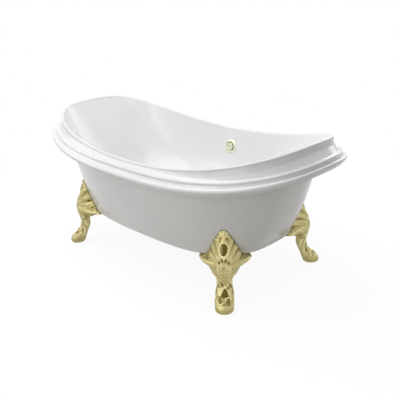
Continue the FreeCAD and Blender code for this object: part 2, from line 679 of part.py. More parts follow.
def foot_bolts():
    """Washers and bolts of one foot, put in from below."""
    washer_top = GROUND_CLEARANCE - FOOT_GAP - SHELF_THICKNESS
    head_top = washer_top - WASHER_THICKNESS
    bolt = hexagon(BOLT_HEAD_ACROSS, head_top - BOLT_HEAD_HEIGHT, head_top)
    bolt = bolt.fuse(cylinder(FOOT_BOLT_RADIUS, head_top, RAIL_SEAT))
    washer = tube(WASHER_RADIUS, FOOT_BOLT_RADIUS + BOLT_CLEARANCE, head_top, washer_top)
    bolts = []
    washers = []
    for place in foot_bolt_places():
        bolts.append(bolt.translated(place))
        washers.append(washer.translated(place))
    return bolts, washers


# ---- Frame and base board ----

def foot_plates():
    corners = [foot_point(-FOOT_BOLT_INSET + out * PLATE_DEPTH / 2, across * PLATE_WIDTH / 2, SKIRT_SEAT)
               for out, across in ((-1, -1), (1, -1), (1, 1), (-1, 1))]
    plate = Part.Face(Part.makePolygon(corners + [corners[0]])).extrude(V(0, 0, PLATE_THICKNESS))
    for place in foot_bolt_places():
        plate = plate.cut(Part.makeCylinder(FOOT_BOLT_RADIUS + THREAD_FIT, 4 * PLATE_THICKNESS,
                                            place + V(0, 0, SKIRT_SEAT - PLATE_THICKNESS)))
    return each_corner(plate)


def box_section(length, along_x):
    outer = Part.makeBox(length, RAIL_WIDTH, RAIL_HEIGHT, V(-length / 2, -RAIL_WIDTH / 2, 0))
    inner = Part.makeBox(length, RAIL_WIDTH - 2 * RAIL_WALL, RAIL_HEIGHT - 2 * RAIL_WALL,
                         V(-length / 2, -RAIL_WIDTH / 2 + RAIL_WALL, RAIL_WALL))
    section = outer.cut(inner)
    if not along_x:
        section.rotate(V(0, 0, 0), V(0, 0, 1), 90)
    return section


def board_screw_places():
    return [V(end * x, side * RAIL_SPACING / 2, 0)
            for x in (BOARD_SCREW_MIDDLE, BOARD_LENGTH / 2 - BOARD_SCREW_INSET)
            for end in (-1, 1) for side in (-1, 1)]


def frame_rails():
    rails = []
    for side in (-1, 1):
        rail = box_section(RAIL_LENGTH, True).translated(V(0, side * RAIL_SPACING / 2, RAIL_SEAT))
        for place in board_screw_places():
            rail = rail.cut(Part.makeCylinder(BOARD_SCREW_RADIUS + THREAD_FIT, 2 * RAIL_WALL,
                                              place + V(0, 0, BOARD_SEAT - 1.5 * RAIL_WALL)))
        for place in foot_bolt_places():
            for hole in each_corner(Part.makeCylinder(FOOT_BOLT_RADIUS + BOLT_CLEARANCE, RAIL_WALL,
                                                      place + V(0, 0, RAIL_SEAT))):
                rail = rail.cut(hole)
        rails.append(rail)
    return rails


def frame_crossmembers():
    span = RAIL_SPACING - RAIL_WIDTH
    return [box_section(span, False).translated(V(end * x, 0, RAIL_SEAT))
            for x in (CROSSMEMBER_MIDDLE, RAIL_LENGTH / 2 - CROSSMEMBER_INSET) for end in (-1, 1)]


def base_board():
    board = Part.makeBox(BOARD_LENGTH, BOARD_WIDTH, BOARD_THICKNESS,
                         V(-BOARD_LENGTH / 2, -BOARD_WIDTH / 2, BOARD_SEAT))
    upright = [edge for edge in board.Edges if abs(edge.tangentAt(edge.FirstParameter).z) > 0.9]
    board = board.makeFillet(BOARD_CORNER, upright)
    board = board.cut(cylinder(WASTE_FLANGE_RADIUS + 5.0, BOARD_SEAT, BASIN_SEAT))
    for place in board_screw_places():
        board = board.cut(board_screw(BOLT_CLEARANCE).translated(place))
    return board


def board_screw(clearance):
    """A countersunk screw, flush with the board, or its hole if a clearance is given."""
    top = BOARD_SEAT + BOARD_THICKNESS
    shank = BOARD_SCREW_RADIUS + clearance
    head = BOARD_SCREW_HEAD + clearance
    return turned(((0, top), (head, top), (shank, top - (head - shank)),
                   (shank, top - BOARD_SCREW_LENGTH), (0, top - BOARD_SCREW_LENGTH)))


# ---- Overflow ----

def overflow_ring():
    """Face ring, threaded sleeve through the wall, and a three-armed bearing for the spindle."""
    inner = OVERFLOW_SLEEVE_RADIUS - OVERFLOW_SLEEVE_WALL
    face = OVERFLOW_SEAT + OVERFLOW_RING_THICKNESS
    ring = turned(((inner, OVERFLOW_SEAT), (OVERFLOW_RING_RADIUS, OVERFLOW_SEAT),
                   (OVERFLOW_RING_RADIUS, OVERFLOW_SEAT + 2.0), (OVERFLOW_RING_RADIUS - 3.0, face - 1.0),
                   (OVERFLOW_RING_RADIUS - 7.0, face), (inner + 3.0, face), (inner, face - 1.5)))
    sleeve = tube(OVERFLOW_SLEEVE_RADIUS, inner, OVERFLOW_SEAT - OVERFLOW_SLEEVE_LENGTH, OVERFLOW_SEAT)
    bearing_low = OVERFLOW_SEAT - OVERFLOW_SLEEVE_LENGTH
    bearing_high = bearing_low + 6.0
    arms = spokes(inner + 1.0, ARM_WIDTH, bearing_low, bearing_high, 3)
    hub = cylinder(2 * SPINDLE_RADIUS, bearing_low, bearing_high)
    bore = cylinder(SPINDLE_RADIUS + RUNNING_FIT, bearing_low, bearing_high)
    return ring.multiFuse([sleeve, arms, hub]).cut(bore)


def overflow_gasket():
    return tube(OVERFLOW_BODY_RADIUS, OVERFLOW_SLEEVE_RADIUS + BOLT_CLEARANCE,
                OVERFLOW_BODY_FRONT, OVERFLOW_BACK)


def overflow_body():
    """Round cup behind the wall with a spigot down to the hose and a nipple for the cable."""
    cup = cylinder(OVERFLOW_BODY_RADIUS, OVERFLOW_BODY_REAR, OVERFLOW_BODY_FRONT)
    spigot = Part.makeCylinder(HOSE_RADIUS, SPIGOT_END, V(0, 0, HOSE_AXIS), V(0, -1, 0))
    hollow = cylinder(OVERFLOW_SLEEVE_RADIUS + THREAD_FIT, OVERFLOW_BODY_REAR + OVERFLOW_BODY_WALL,
                      OVERFLOW_BODY_FRONT)
    bore = Part.makeCylinder(HOSE_RADIUS - HOSE_WALL, SPIGOT_END, V(0, 0, HOSE_AXIS), V(0, -1, 0))
    boss = cylinder(2 * SPINDLE_RADIUS, OVERFLOW_BODY_REAR, OVERFLOW_BODY_REAR + 2 * OVERFLOW_BODY_WALL)
    pivot = cylinder(SPINDLE_RADIUS + RUNNING_FIT, OVERFLOW_BODY_REAR + OVERFLOW_BODY_WALL,
                     OVERFLOW_BODY_FRONT)
    axis = (V(CABLE_OFFSET, 0, HOSE_AXIS), V(0, -1, 0))
    nipple = Part.makeCylinder(NIPPLE_RADIUS, OVERFLOW_NIPPLE_END, *axis)
    cable_hole = Part.makeCylinder(CABLE_RADIUS + THREAD_FIT, OVERFLOW_NIPPLE_END, *axis)
    body = cup.multiFuse([spigot, nipple]).cut([hollow, bore])
    return body.fuse(boss).cut([pivot, cable_hole])


def knob_spindle():
    rear = OVERFLOW_BODY_REAR + OVERFLOW_BODY_WALL + SEAT_GAP
    return cylinder(SPINDLE_RADIUS, rear, KNOB_STAND_OFF + KNOB_HEIGHT / 2)


def cable_cam():
    """Disc that winds the control cable, with the stub that its end hooks on."""
    low = OVERFLOW_BODY_REAR + 2 * OVERFLOW_BODY_WALL + SEAT_GAP
    cam = cylinder(CAM_RADIUS, low, low + CAM_THICKNESS)
    stub = cylinder(2.0, low + CAM_THICKNESS, low + 1.6 * CAM_THICKNESS)
    return cam.fuse(stub.translated(V(0.7 * CAM_RADIUS, 0, 0))).cut(
        cylinder(SPINDLE_RADIUS, low, low + CAM_THICKNESS))


def overflow_knob():
    low = KNOB_STAND_OFF
    top = low + KNOB_HEIGHT
    outline = ((0, low + KNOB_HEIGHT / 2), (SPINDLE_RADIUS, low + KNOB_HEIGHT / 2), (SPINDLE_RADIUS, low),
               (KNOB_RADIUS - 1.0, low), (KNOB_RADIUS, low + 1.0), (KNOB_RADIUS, top - 4.0),
               (KNOB_RADIUS - 2.0, top - 1.2), (KNOB_RADIUS - 6.0, top - 0.3), (0, top))
    return turned(outline)


# ---- Waste and stopper ----

WASTE_TOP = BASIN_SEAT - DRAIN_GASKET
WASTE_BOTTOM = WASTE_TOP - WASTE_BODY_LENGTH
WASTE_RADIUS = DRAIN_SLEEVE_RADIUS + WASTE_BODY_WALL
FLANGE_BASE = FLOOR_HEIGHT - DRAIN_RECESS
FLANGE_TOP = FLANGE_BASE + DRAIN_FLANGE_THICKNESS
SLEEVE_BOTTOM = FLANGE_BASE - DRAIN_SLEEVE_LENGTH
STOPPER_BASE = FLANGE_TOP + SEAT_GAP
STEM_BOTTOM = STOPPER_BASE - STEM_LENGTH
HOSE_LEVEL = WASTE_BOTTOM + HOSE_RADIUS + 2 * WASTE_BODY_WALL
GUIDE_LEVEL = STEM_BOTTOM - 18.0
GUIDE_HEIGHT = 8.0
CABLE_LEVEL = GUIDE_LEVEL - GUIDE_HEIGHT / 2
WASTE_SPIGOT_END = WASTE_RADIUS + SPIGOT_LENGTH
WASTE_NIPPLE_END = WASTE_RADIUS + WASTE_NIPPLE


def drain_flange():
    inner = DRAIN_SLEEVE_RADIUS - DRAIN_SLEEVE_WALL
    seat = STOPPER_SEAL_RADIUS + SEAT_GAP
    flange = turned(((inner, FLANGE_BASE), (DRAIN_FLANGE_RADIUS, FLANGE_BASE),
                     (DRAIN_FLANGE_RADIUS, FLANGE_BASE + 1.0), (DRAIN_FLANGE_RADIUS - 1.5, FLANGE_TOP),
                     (seat, FLANGE_TOP), (seat - 4.0, FLANGE_BASE + 0.5), (inner, FLANGE_BASE + 0.5)))
    sleeve = tube(DRAIN_SLEEVE_RADIUS, inner, SLEEVE_BOTTOM, FLANGE_BASE)
    low = SLEEVE_BOTTOM + 4.0
    high = low + GUIDE_HEIGHT
    arms = spokes(inner + 1.0, ARM_WIDTH, low, high, 4)
    hub = cylinder(2 * STEM_RADIUS, low, high)
    return flange.multiFuse([sleeve, arms, hub]).cut(cylinder(STEM_RADIUS + RUNNING_FIT, low, high))


def drain_gasket():
    return tube(WASTE_FLANGE_RADIUS, DRAIN_SLEEVE_RADIUS + BOLT_CLEARANCE, WASTE_TOP, BASIN_SEAT)


def waste_body():
    """Cup under the drain: flange, socket for the tail, spigot for the hose and a pin guide."""
    bore = DRAIN_SLEEVE_RADIUS + THREAD_FIT
    flange = cylinder(WASTE_FLANGE_RADIUS, WASTE_TOP - WASTE_FLANGE_THICKNESS, WASTE_TOP)
    cup = cylinder(WASTE_RADIUS, WASTE_BOTTOM, WASTE_TOP)
    socket = cylinder(TAIL_RADIUS + WASTE_BODY_WALL, WASTE_BOTTOM - WASTE_SOCKET_LENGTH, WASTE_BOTTOM)
    spigot = Part.makeCylinder(HOSE_RADIUS, WASTE_SPIGOT_END, V(0, 0, HOSE_LEVEL), V(0, 1, 0))
    axis = (V(CABLE_OFFSET / 2, 0, CABLE_LEVEL), V(0, 1, 0))
    nipple = Part.makeCylinder(NIPPLE_RADIUS, WASTE_NIPPLE_END, *axis)
    outside = flange.multiFuse([cup, socket, spigot, nipple])
    hollow = cylinder(bore, WASTE_BOTTOM + WASTE_BODY_WALL, WASTE_TOP)
    way_out = cylinder(TAIL_RADIUS - TAIL_WALL, WASTE_BOTTOM - WASTE_SOCKET_LENGTH, WASTE_TOP)
    tail_seat = cylinder(TAIL_RADIUS + THREAD_FIT, WASTE_BOTTOM - WASTE_SOCKET_LENGTH, WASTE_BOTTOM - 2.0)
    hose_way = Part.makeCylinder(HOSE_RADIUS - HOSE_WALL, WASTE_SPIGOT_END,
                                 V(0, 0, HOSE_LEVEL), V(0, 1, 0))
    body = outside.cut([hollow, way_out, tail_seat, hose_way])
    guide = cylinder(2 * STEM_RADIUS, GUIDE_LEVEL - GUIDE_HEIGHT, GUIDE_LEVEL)
    arms = spokes(bore + 1.0, ARM_WIDTH, GUIDE_LEVEL - GUIDE_HEIGHT, GUIDE_LEVEL, 4)
    cable_hole = Part.makeCylinder(CABLE_RADIUS + THREAD_FIT, WASTE_NIPPLE_END, *axis)
    pin_bore = cylinder(STEM_RADIUS + RUNNING_FIT, GUIDE_LEVEL - GUIDE_HEIGHT, GUIDE_LEVEL)
    return body.multiFuse([guide, arms]).cut([pin_bore, cable_hole])


def stopper_cap():
    top = STOPPER_BASE + STOPPER_THICKNESS
    return turned(((0, STOPPER_BASE), (STOPPER_RADIUS, STOPPER_BASE),
                   (STOPPER_RADIUS, top - 2.0), (STOPPER_RADIUS - 2.0, top),
                   (STOPPER_RADIUS / 2, top + 0.75 * STOPPER_DOME), (0, top + STOPPER_DOME)))


def stopper_seal():
    """Soft ring under the cap, held on the stem."""
    low = STOPPER_BASE - STOPPER_SEAL_THICKNESS
    return turned(((STEM_RADIUS, low), (STOPPER_SEAL_RADIUS - 6.0, low), (STOPPER_SEAL_RADIUS - 1.0,
                  STOPPER_BASE), (STEM_RADIUS, STOPPER_BASE)))


def stopper_stem():
    return cylinder(STEM_RADIUS, STEM_BOTTOM, STOPPER_BASE)


def lift_pin():
    top = STEM_BOTTOM - SEAT_GAP
    return cylinder(STEM_RADIUS, top - LIFT_PIN_LENGTH, top)


TAIL_TOP = WASTE_BOTTOM - 2.0 - SEAT_GAP
TAIL_BOTTOM = TAIL_TOP - TAIL_LENGTH
SOCKET_BOTTOM = WASTE_BOTTOM - WASTE_SOCKET_LENGTH
TAIL_WASHER_BOTTOM = SOCKET_BOTTOM - SEAT_GAP - TAIL_WASHER
TAIL_NUT_BOTTOM = TAIL_WASHER_BOTTOM - WASTE_BODY_WALL


def tail_pipe():
    """Straight pipe with a formed bead that keeps the nut from dropping off."""
    bead_top = TAIL_NUT_BOTTOM - SEAT_GAP
    bead = cylinder(TAIL_RADIUS + TAIL_BEAD, bead_top - TAIL_BEAD, bead_top)
    pipe_outside = cylinder(TAIL_RADIUS, TAIL_BOTTOM, TAIL_TOP)
    return pipe_outside.fuse(bead).cut(cylinder(TAIL_RADIUS - TAIL_WALL, TAIL_BOTTOM, TAIL_TOP))


def tail_washer():
    return tube(TAIL_RADIUS + WASTE_BODY_WALL, TAIL_RADIUS + THREAD_FIT, TAIL_WASHER_BOTTOM,
                SOCKET_BOTTOM - SEAT_GAP)


def tail_nut():
    """Ribbed union nut that draws the washer up against the socket."""
    outer = TAIL_RADIUS + 2.2 * WASTE_BODY_WALL
    bore = TAIL_RADIUS + WASTE_BODY_WALL + THREAD_FIT
    top = SOCKET_BOTTOM + 0.6 * WASTE_SOCKET_LENGTH
    nut = cylinder(outer, TAIL_NUT_BOTTOM, top)
    ribs = []
    for angle in range(0, 360, 45):
        rib = cylinder(RIB_RADIUS, TAIL_NUT_BOTTOM, top).translated(V(outer, 0, 0))
        rib.rotate(V(0, 0, 0), V(0, 0, 1), angle)
        ribs.append(rib)
    return nut.multiFuse(ribs).cut([cylinder(bore, TAIL_WASHER_BOTTOM - SEAT_GAP, top),
                                    cylinder(TAIL_RADIUS + BOLT_CLEARANCE, TAIL_NUT_BOTTOM, top)])


# ---- Hose and cable ----

RAIL_EDGE = (RAIL_SPACING + RAIL_WIDTH) / 2
HOSE_CLEAR = 70.0            # most that the hose keeps off the basin
HOSE_DROP = (RAIL_EDGE + SKIRT_BASE_WIDTH / 2 - SKIRT_FLANGE) / 2 + 4.0   # hose and cable pass here


def down_between_shells(reach, side):
    """Points from behind the overflow down to the gap between a rail and the skirt's flange."""
    points = [OVERFLOW_FRAME.multVec(V(side, -distance, HOSE_AXIS))
              for distance in (reach, SPIGOT_END + HOSE_NUT_LENGTH)]
    for height in (0.55 * points[0].z + 0.45 * RAIL_SEAT, 0.25 * points[0].z + 0.75 * RAIL_SEAT):
        inner = basin_half_width(height, SHELL)
        middle = (inner + skirt_half_width(height)) / 2
        points.append(V(side, max(HOSE_DROP, min(middle, inner + HOSE_CLEAR)), height))
    return points + [V(side, HOSE_DROP, BOARD_SEAT)]


def overflow_hose():
    """From the overflow body down, under a rail and in to the waste body."""
    path = rounded_path(down_between_shells(SPIGOT_END, 0) + [
        V(0, HOSE_DROP - 6.0, HOSE_LEVEL + 24.0), V(0, HOSE_DROP - 42.0, HOSE_LEVEL),
        V(0, WASTE_SPIGOT_END, HOSE_LEVEL)])
    return pipe(path, HOSE_RADIUS).cut(pipe(path, HOSE_RADIUS - HOSE_WALL))


def hose_nuts():
    """Clamping nuts over the two ends of the hose."""
    outer = HOSE_RADIUS + HOSE_NUT_WALL
    bore = HOSE_RADIUS + THREAD_FIT
    nut = tube(outer, bore, -HOSE_NUT_LENGTH / 2, HOSE_NUT_LENGTH / 2)
    low = nut.copy()
    low.Placement = FreeCAD.Placement(V(0, WASTE_SPIGOT_END, HOSE_LEVEL),
                                      FreeCAD.Rotation(V(1, 0, 0), 90))
    high = nut.copy()
    high.rotate(V(0, 0, 0), V(1, 0, 0), 90)
    high.translate(V(0, -SPIGOT_END, HOSE_AXIS))
    high.Placement = OVERFLOW_FRAME.multiply(high.Placement)
    return [low, high]


def control_cable():
    """Casing of the cable that carries the knob's turn to the lift pin."""
    end = V(CABLE_OFFSET / 2, WASTE_RADIUS, CABLE_LEVEL)
    path = rounded_path(down_between_shells(OVERFLOW_BODY_RADIUS, CABLE_OFFSET) + [
        V(CABLE_OFFSET, HOSE_DROP - 4.0, end.z), V(end.x, 2 * WASTE_RADIUS, end.z), end])
    return pipe(path, CABLE_RADIUS)


def cable_glands():
    """Cap nuts that hold the cable's two ends on the nipples."""
    bore = cylinder(NIPPLE_RADIUS + THREAD_FIT, SEAT_GAP - GLAND_LENGTH, SEAT_GAP)
    gland = cylinder(GLAND_RADIUS, SEAT_GAP - 0.7 * GLAND_LENGTH, 0.3 * GLAND_LENGTH).cut(
        [bore, cylinder(CABLE_RADIUS + THREAD_FIT, 0, GLAND_LENGTH)])
    low = gland.copy()
    low.Placement = FreeCAD.Placement(V(CABLE_OFFSET / 2, WASTE_NIPPLE_END, CABLE_LEVEL),
                                      FreeCAD.Rotation(V(1, 0, 0), -90))
    high = gland.copy()
    high.Placement = OVERFLOW_FRAME.multiply(FreeCAD.Placement(
        V(CABLE_OFFSET, -OVERFLOW_NIPPLE_END, HOSE_AXIS),
        FreeCAD.Rotation(V(1, 0, 0), 90)))
    return [low, high]


PIECES = {
    "basin": basin,
    "skirt": skirt,
    "foot_plates": foot_plates,
    "frame_rails": frame_rails,
    "frame_crossmembers": frame_crossmembers,
    "base_board": base_board,
    "board_screws": lambda: [board_screw(0).translated(place) for place in board_screw_places()],
    "overflow_ring": lambda: on_wall(overflow_ring()),
    "overflow_gasket": lambda: on_wall(overflow_gasket()),
    "overflow_body": lambda: on_wall(overflow_body()),
    "knob_spindle": lambda: on_wall(knob_spindle()),
    "cable_cam": lambda: on_wall(cable_cam()),
    "overflow_knob": lambda: on_wall(overflow_knob()),
    "drain_flange": drain_flange,
    "drain_gasket": drain_gasket,
    "waste_body": waste_body,
    "stopper_cap": stopper_cap,
    "stopper_seal": stopper_seal,
    "stopper_stem": stopper_stem,
    "lift_pin": lift_pin,
    "tail_pipe": tail_pipe,
    "tail_washer": tail_washer,
    "tail_nut": tail_nut,
    "overflow_hose": overflow_hose,
    "hose_nuts": hose_nuts,
    "control_cable": control_cable,
    "cable_glands": cable_glands,
}
FOOT_NAMES = ("foot_rear_right", "foot_rear_left", "foot_front_right", "foot_front_left")


def export(name, made):
    shape = Part.Compound(made) if isinstance(made, list) else made
    if len(shape.Solids) == 1:
        shape = shape.Solids[0]
    shape.exportStep(os.path.join("parts", name + ".step"))
    print(name, len(shape.Solids), "solids,", round(sum(s.Volume for s in shape.Solids) / 1000), "cm3,",
          "valid" if shape.isValid() else "NOT VALID")


def main():
    os.makedirs("parts", exist_ok=True)
    for name, make in PIECES.items():
        export(name, make())
    for name, foot in zip(FOOT_NAMES, each_corner(claw_foot())):
        export(name, foot)
    bolts, washers = foot_bolts()
    export("foot_bolts", [copy for bolt in bolts for copy in each_corner(bolt)])
    export("foot_washers", [copy for washer in washers for copy in each_corner(washer)])


main()
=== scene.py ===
"""Looks of a double-ended bathtub on four cast claw feet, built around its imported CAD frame."""

import json
import logging
import math
from dataclasses import dataclass
from enum import Enum
from typing import Iterable, Optional, Union

import bpy
import numpy as np
from mathutils import Matrix, Vector, noise

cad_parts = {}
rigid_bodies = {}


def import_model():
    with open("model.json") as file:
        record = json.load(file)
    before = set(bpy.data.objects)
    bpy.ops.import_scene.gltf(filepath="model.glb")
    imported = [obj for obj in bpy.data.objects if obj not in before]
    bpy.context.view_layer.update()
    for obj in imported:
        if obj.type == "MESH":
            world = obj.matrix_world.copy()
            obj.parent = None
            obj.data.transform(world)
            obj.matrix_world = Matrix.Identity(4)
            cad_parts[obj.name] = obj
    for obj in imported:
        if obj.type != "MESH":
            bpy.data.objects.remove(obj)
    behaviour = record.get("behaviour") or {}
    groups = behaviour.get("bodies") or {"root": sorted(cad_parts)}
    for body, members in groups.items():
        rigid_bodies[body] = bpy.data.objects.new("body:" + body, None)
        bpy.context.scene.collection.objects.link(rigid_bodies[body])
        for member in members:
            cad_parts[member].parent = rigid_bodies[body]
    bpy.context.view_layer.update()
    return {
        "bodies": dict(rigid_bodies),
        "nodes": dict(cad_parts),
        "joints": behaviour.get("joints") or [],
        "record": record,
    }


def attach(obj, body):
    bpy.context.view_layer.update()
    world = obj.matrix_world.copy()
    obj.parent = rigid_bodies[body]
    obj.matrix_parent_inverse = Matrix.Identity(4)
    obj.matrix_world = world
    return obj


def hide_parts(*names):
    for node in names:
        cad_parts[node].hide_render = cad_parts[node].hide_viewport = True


LOG = logging.getLogger("bathtub")
MM = 0.001
RELIEF_AND_SHADE = "relief"    # the attribute that carries a foot's carving, and the painted shade on its back faces and toe pad, to its finish
Colour = tuple[float, float, float]
Place = tuple[float, float, float]
Pair = tuple[float, float]


# ---- Shader graphs ----

class Wire:
    """One number socket of a material's node tree, with arithmetic that adds Math nodes."""

    def __init__(self, graph: "Graph", socket: bpy.types.NodeSocket) -> None:
        """Keeps the graph and the socket that carries the number."""
        self.graph = graph
        self.socket = socket

    def _math(self, operation: str, *values: "Number") -> "Wire":
        """Adds one Math node.

        Args:
            operation: The Math node's operation.
            values: Its inputs in order, wires or plain numbers.

        Returns:
            The wire that carries the result.
        """
        inputs = {index: value for index, value in enumerate(values)}
        return self.graph.number("ShaderNodeMath", {"operation": operation}, inputs)

    def __add__(self, other: "Number") -> "Wire":
        """Returns the sum."""
        return self._math("ADD", self, other)

    __radd__ = __add__

    def __sub__(self, other: "Number") -> "Wire":
        """Returns the difference."""
        return self._math("SUBTRACT", self, other)

    def __rsub__(self, other: "Number") -> "Wire":
        """Returns a plain number less this wire."""
        return self._math("SUBTRACT", other, self)

    def __mul__(self, other: "Number") -> "Wire":
        """Returns the product."""
        return self._math("MULTIPLY", self, other)

    __rmul__ = __mul__

    def between(self, low: float, high: float) -> "Wire":
        """Rises smoothly from 0 at one value to 1 at the other.

        Args:
            low: The value that gives 0.
            high: The value that gives 1.

        Returns:
            The wire that carries the share.
        """
        settings = {"interpolation_type": "SMOOTHSTEP", "clamp": True}
        return self.graph.number("ShaderNodeMapRange", settings,
                                 {"Value": self, "From Min": low, "From Max": high})


Number = Union[Wire, float, int]


class Graph:
    """A material's or the world's node tree."""

    MIX_FIRST = 6      # the colour sockets of a Mix node
    MIX_SECOND = 7
    MIX_RESULT = 2

    def __init__(self, owner: Union[bpy.types.Material, bpy.types.World]) -> None:
        """Opens the owner's node tree and keeps its first shader and its output.

        Args:
            owner: The material or the world.
        """
        owner.use_nodes = True
        self.owner = owner
        self.tree = owner.node_tree
        self.shader = next(node for node in self.tree.nodes
                           if node.outputs and node.outputs[0].type == "SHADER")
        self.output = next(node for node in self.tree.nodes if not node.outputs)

    @classmethod
    def of_material(cls, name: str) -> "Graph":
        """Makes a new material's graph."""
        return cls(bpy.data.materials.new(name))

    def node(self, kind: str, settings: dict[str, object], inputs: dict) -> bpy.types.Node:
        """Adds one node.

        Args:
            kind: The node's type.
            settings: Its own settings, set first.
            inputs: Its sockets by name or number, as wires, sockets or constants.

        Returns:
            The node.
        """
        made = self.tree.nodes.new(kind)
        for setting, value in settings.items():
            setattr(made, setting, value)
        for key, value in inputs.items():
            self.feed(made.inputs[key], value)
        return made

    def feed(self, socket: bpy.types.NodeSocket, value: object) -> None:
        """Links a wire or socket to an input, or sets the input's constant.

        Args:
            socket: The input.
            value: A wire, a socket, a colour or a number.
        """
        if isinstance(value, Wire):
            self.tree.links.new(value.socket, socket)
        elif isinstance(value, bpy.types.NodeSocket):
            self.tree.links.new(value, socket)
        elif isinstance(value, tuple) and socket.type == "RGBA":
            socket.default_value = (*value, 1.0)
        else:
            socket.default_value = value

    def number(self, kind: str, settings: dict[str, object], inputs: dict) -> Wire:
        """Adds a node and returns its first output as a wire."""
        return Wire(self, self.node(kind, settings, inputs).outputs[0])

    def place(self) -> bpy.types.NodeSocket:
        """Returns the socket of the object's own coordinates, in metres."""
        return self.node("ShaderNodeTexCoord", {}, {}).outputs["Object"]

    def stretched(self, scale: Place) -> bpy.types.NodeSocket:
        """Returns the object's coordinates, multiplied axis by axis."""
        return self.node("ShaderNodeVectorMath", {"operation": "MULTIPLY"},
                         {0: self.place(), 1: scale}).outputs[0]

    def noise(self, scale: float, detail: float = 3.0,
              place: Optional[bpy.types.NodeSocket] = None) -> Wire:
        """Adds a noise texture.

        Args:
            scale: Features per metre.
            detail: Octaves.
            place: Its coordinates, or the object's own.

        Returns:
            Its strength, from 0 to 1.
        """
        return self.number("ShaderNodeTexNoise", {},
                           {"Vector": place or self.place(), "Scale": scale, "Detail": detail})

    def cells(self, scale: float, place: Optional[bpy.types.NodeSocket] = None) -> Wire:
        """Adds a cell texture.

        Args:
            scale: Cells per metre.
            place: Its coordinates, or the object's own.

        Returns:
            The distance to the nearest cell's middle.
        """
        return self.number("ShaderNodeTexVoronoi", {"feature": "F1"},
                           {"Vector": place or self.place(), "Scale": scale})

    def attribute(self, name: str) -> Wire:
        """Returns a number stored on the mesh's points."""
        made = self.node("ShaderNodeAttribute", {"attribute_name": name}, {})
        return Wire(self, made.outputs["Fac"])

    def mix(self, share: Number, first: object, second: object) -> bpy.types.NodeSocket:
        """Blends two colours.

        Args:
            share: 0 for the first, 1 for the second.
            first: A colour or a colour socket.
            second: A colour or a colour socket.

        Returns:
            The blended colour's socket.
        """
        inputs = {0: share, self.MIX_FIRST: first, self.MIX_SECOND: second}
        made = self.node("ShaderNodeMix", {"data_type": "RGBA"}, inputs)
        return made.outputs[self.MIX_RESULT]

    def bump(self, height: Wire, depth: float) -> None:
        """Feeds a height, worth a depth in metres, to the shader's normal."""
        made = self.node("ShaderNodeBump", {},
                         {"Height": height, "Distance": depth, "Strength": 1.0})
        self.feed(self.shader.inputs["Normal"], made.outputs[0])

    def shade(self, **sockets: object) -> bpy.types.Material:
        """Feeds the shader's sockets, named with underscores for spaces.

        Args:
            sockets: Socket values, wires or links.

        Returns:
            The finished material.
        """
        for name, value in sockets.items():
            self.feed(self.shader.inputs[name.replace("_", " ")], value)
        return self.owner


# ---- Finishes ----

@dataclass(frozen=True)
class Finish:
    """A named finish for one of the record's material slots.

    Scales are features per metre, and depths are in metres.
    """

    name: str
    slot_name: str
    colour: Colour

    def material(self) -> bpy.types.Material:
        """Builds the finish's material."""
        raise NotImplementedError


@dataclass(frozen=True)
class GlossyWhite(Finish):
    """Glossy white tub shell: faint unevenness of tone and gloss, and a very soft ripple."""

    shade_tone: Colour = (0.79, 0.795, 0.8)
    dust_tone: Colour = (0.6, 0.59, 0.57)
    drift_scale: float = 3.0
    dust_scale: float = 240.0
    ripple_scale: float = 26.0
    grain_scale: float = 380.0
    ripple_depth: float = 0.00012
    roughness: float = 0.2
    coat: float = 0.35
    coat_roughness: float = 0.08
    refraction: float = 1.48

    def material(self) -> bpy.types.Material:
        """Builds the glossy white.

        Returns:
            The material.
        """
        graph = Graph.of_material(self.name)
        drift = graph.noise(self.drift_scale, 2.0).between(0.35, 0.7)
        dust = graph.noise(self.dust_scale, 4.0).between(0.45, 0.8)
        colour = graph.mix(0.55 * drift, self.colour, self.shade_tone)
        colour = graph.mix(0.06 * dust, colour, self.dust_tone)
        ripple = graph.noise(self.ripple_scale, 2.0) + 0.12 * graph.noise(self.grain_scale, 2.0)
        graph.bump(ripple, self.ripple_depth)
        return graph.shade(Base_Color=colour, Roughness=self.roughness + 0.1 * drift + 0.06 * dust,
                           Coat_Weight=self.coat, Coat_Roughness=self.coat_roughness,
                           IOR=self.refraction)


@dataclass(frozen=True)
class CastBrass(Finish):
    """Carved brass casting: pale rubbed heights, dark olive hollows, a fine grain, and the painted
    shade that a foot stores with its relief.
    """

    hollow: Colour = (0.13, 0.1, 0.022)
    rubbed: Colour = (0.74, 0.69, 0.4)
    mottle_scale: float = 120.0
    pit_scale: float = 330.0
    grain_scale: float = 420.0
    grain_depth: float = 0.0004
    metal: float = 0.92
    dull: float = 0.5       # roughness in a hollow
    polish: float = 0.26    # how much smoother a rubbed height is

    def material(self) -> bpy.types.Material:
        """Builds the cast brass, coloured by the relief and the painted shade that are stored on a
        foot's points.

        Returns:
            The material.
        """
        graph = Graph.of_material(self.name)
        mottle = graph.noise(self.mottle_scale, 5.0)
        pits = graph.cells(self.pit_scale)
        # the stored tone holds the relief and also the painted shade of the foot's back faces and
        # toe pad
        height = graph.attribute(RELIEF_AND_SHADE) + 0.3 * (mottle - 0.5) + 0.08 * (pits - 0.5)
        colour = graph.mix(height.between(0.05, 0.5), self.hollow, self.colour)
        colour = graph.mix(height.between(0.55, 1.0), colour, self.rubbed)
        graph.bump(graph.noise(self.grain_scale, 4.0) + 0.8 * pits + 1.2 * mottle, self.grain_depth)
        return graph.shade(Base_Color=colour, Metallic=self.metal,
                           Roughness=self.dull - self.polish * height.between(0.2, 0.8))


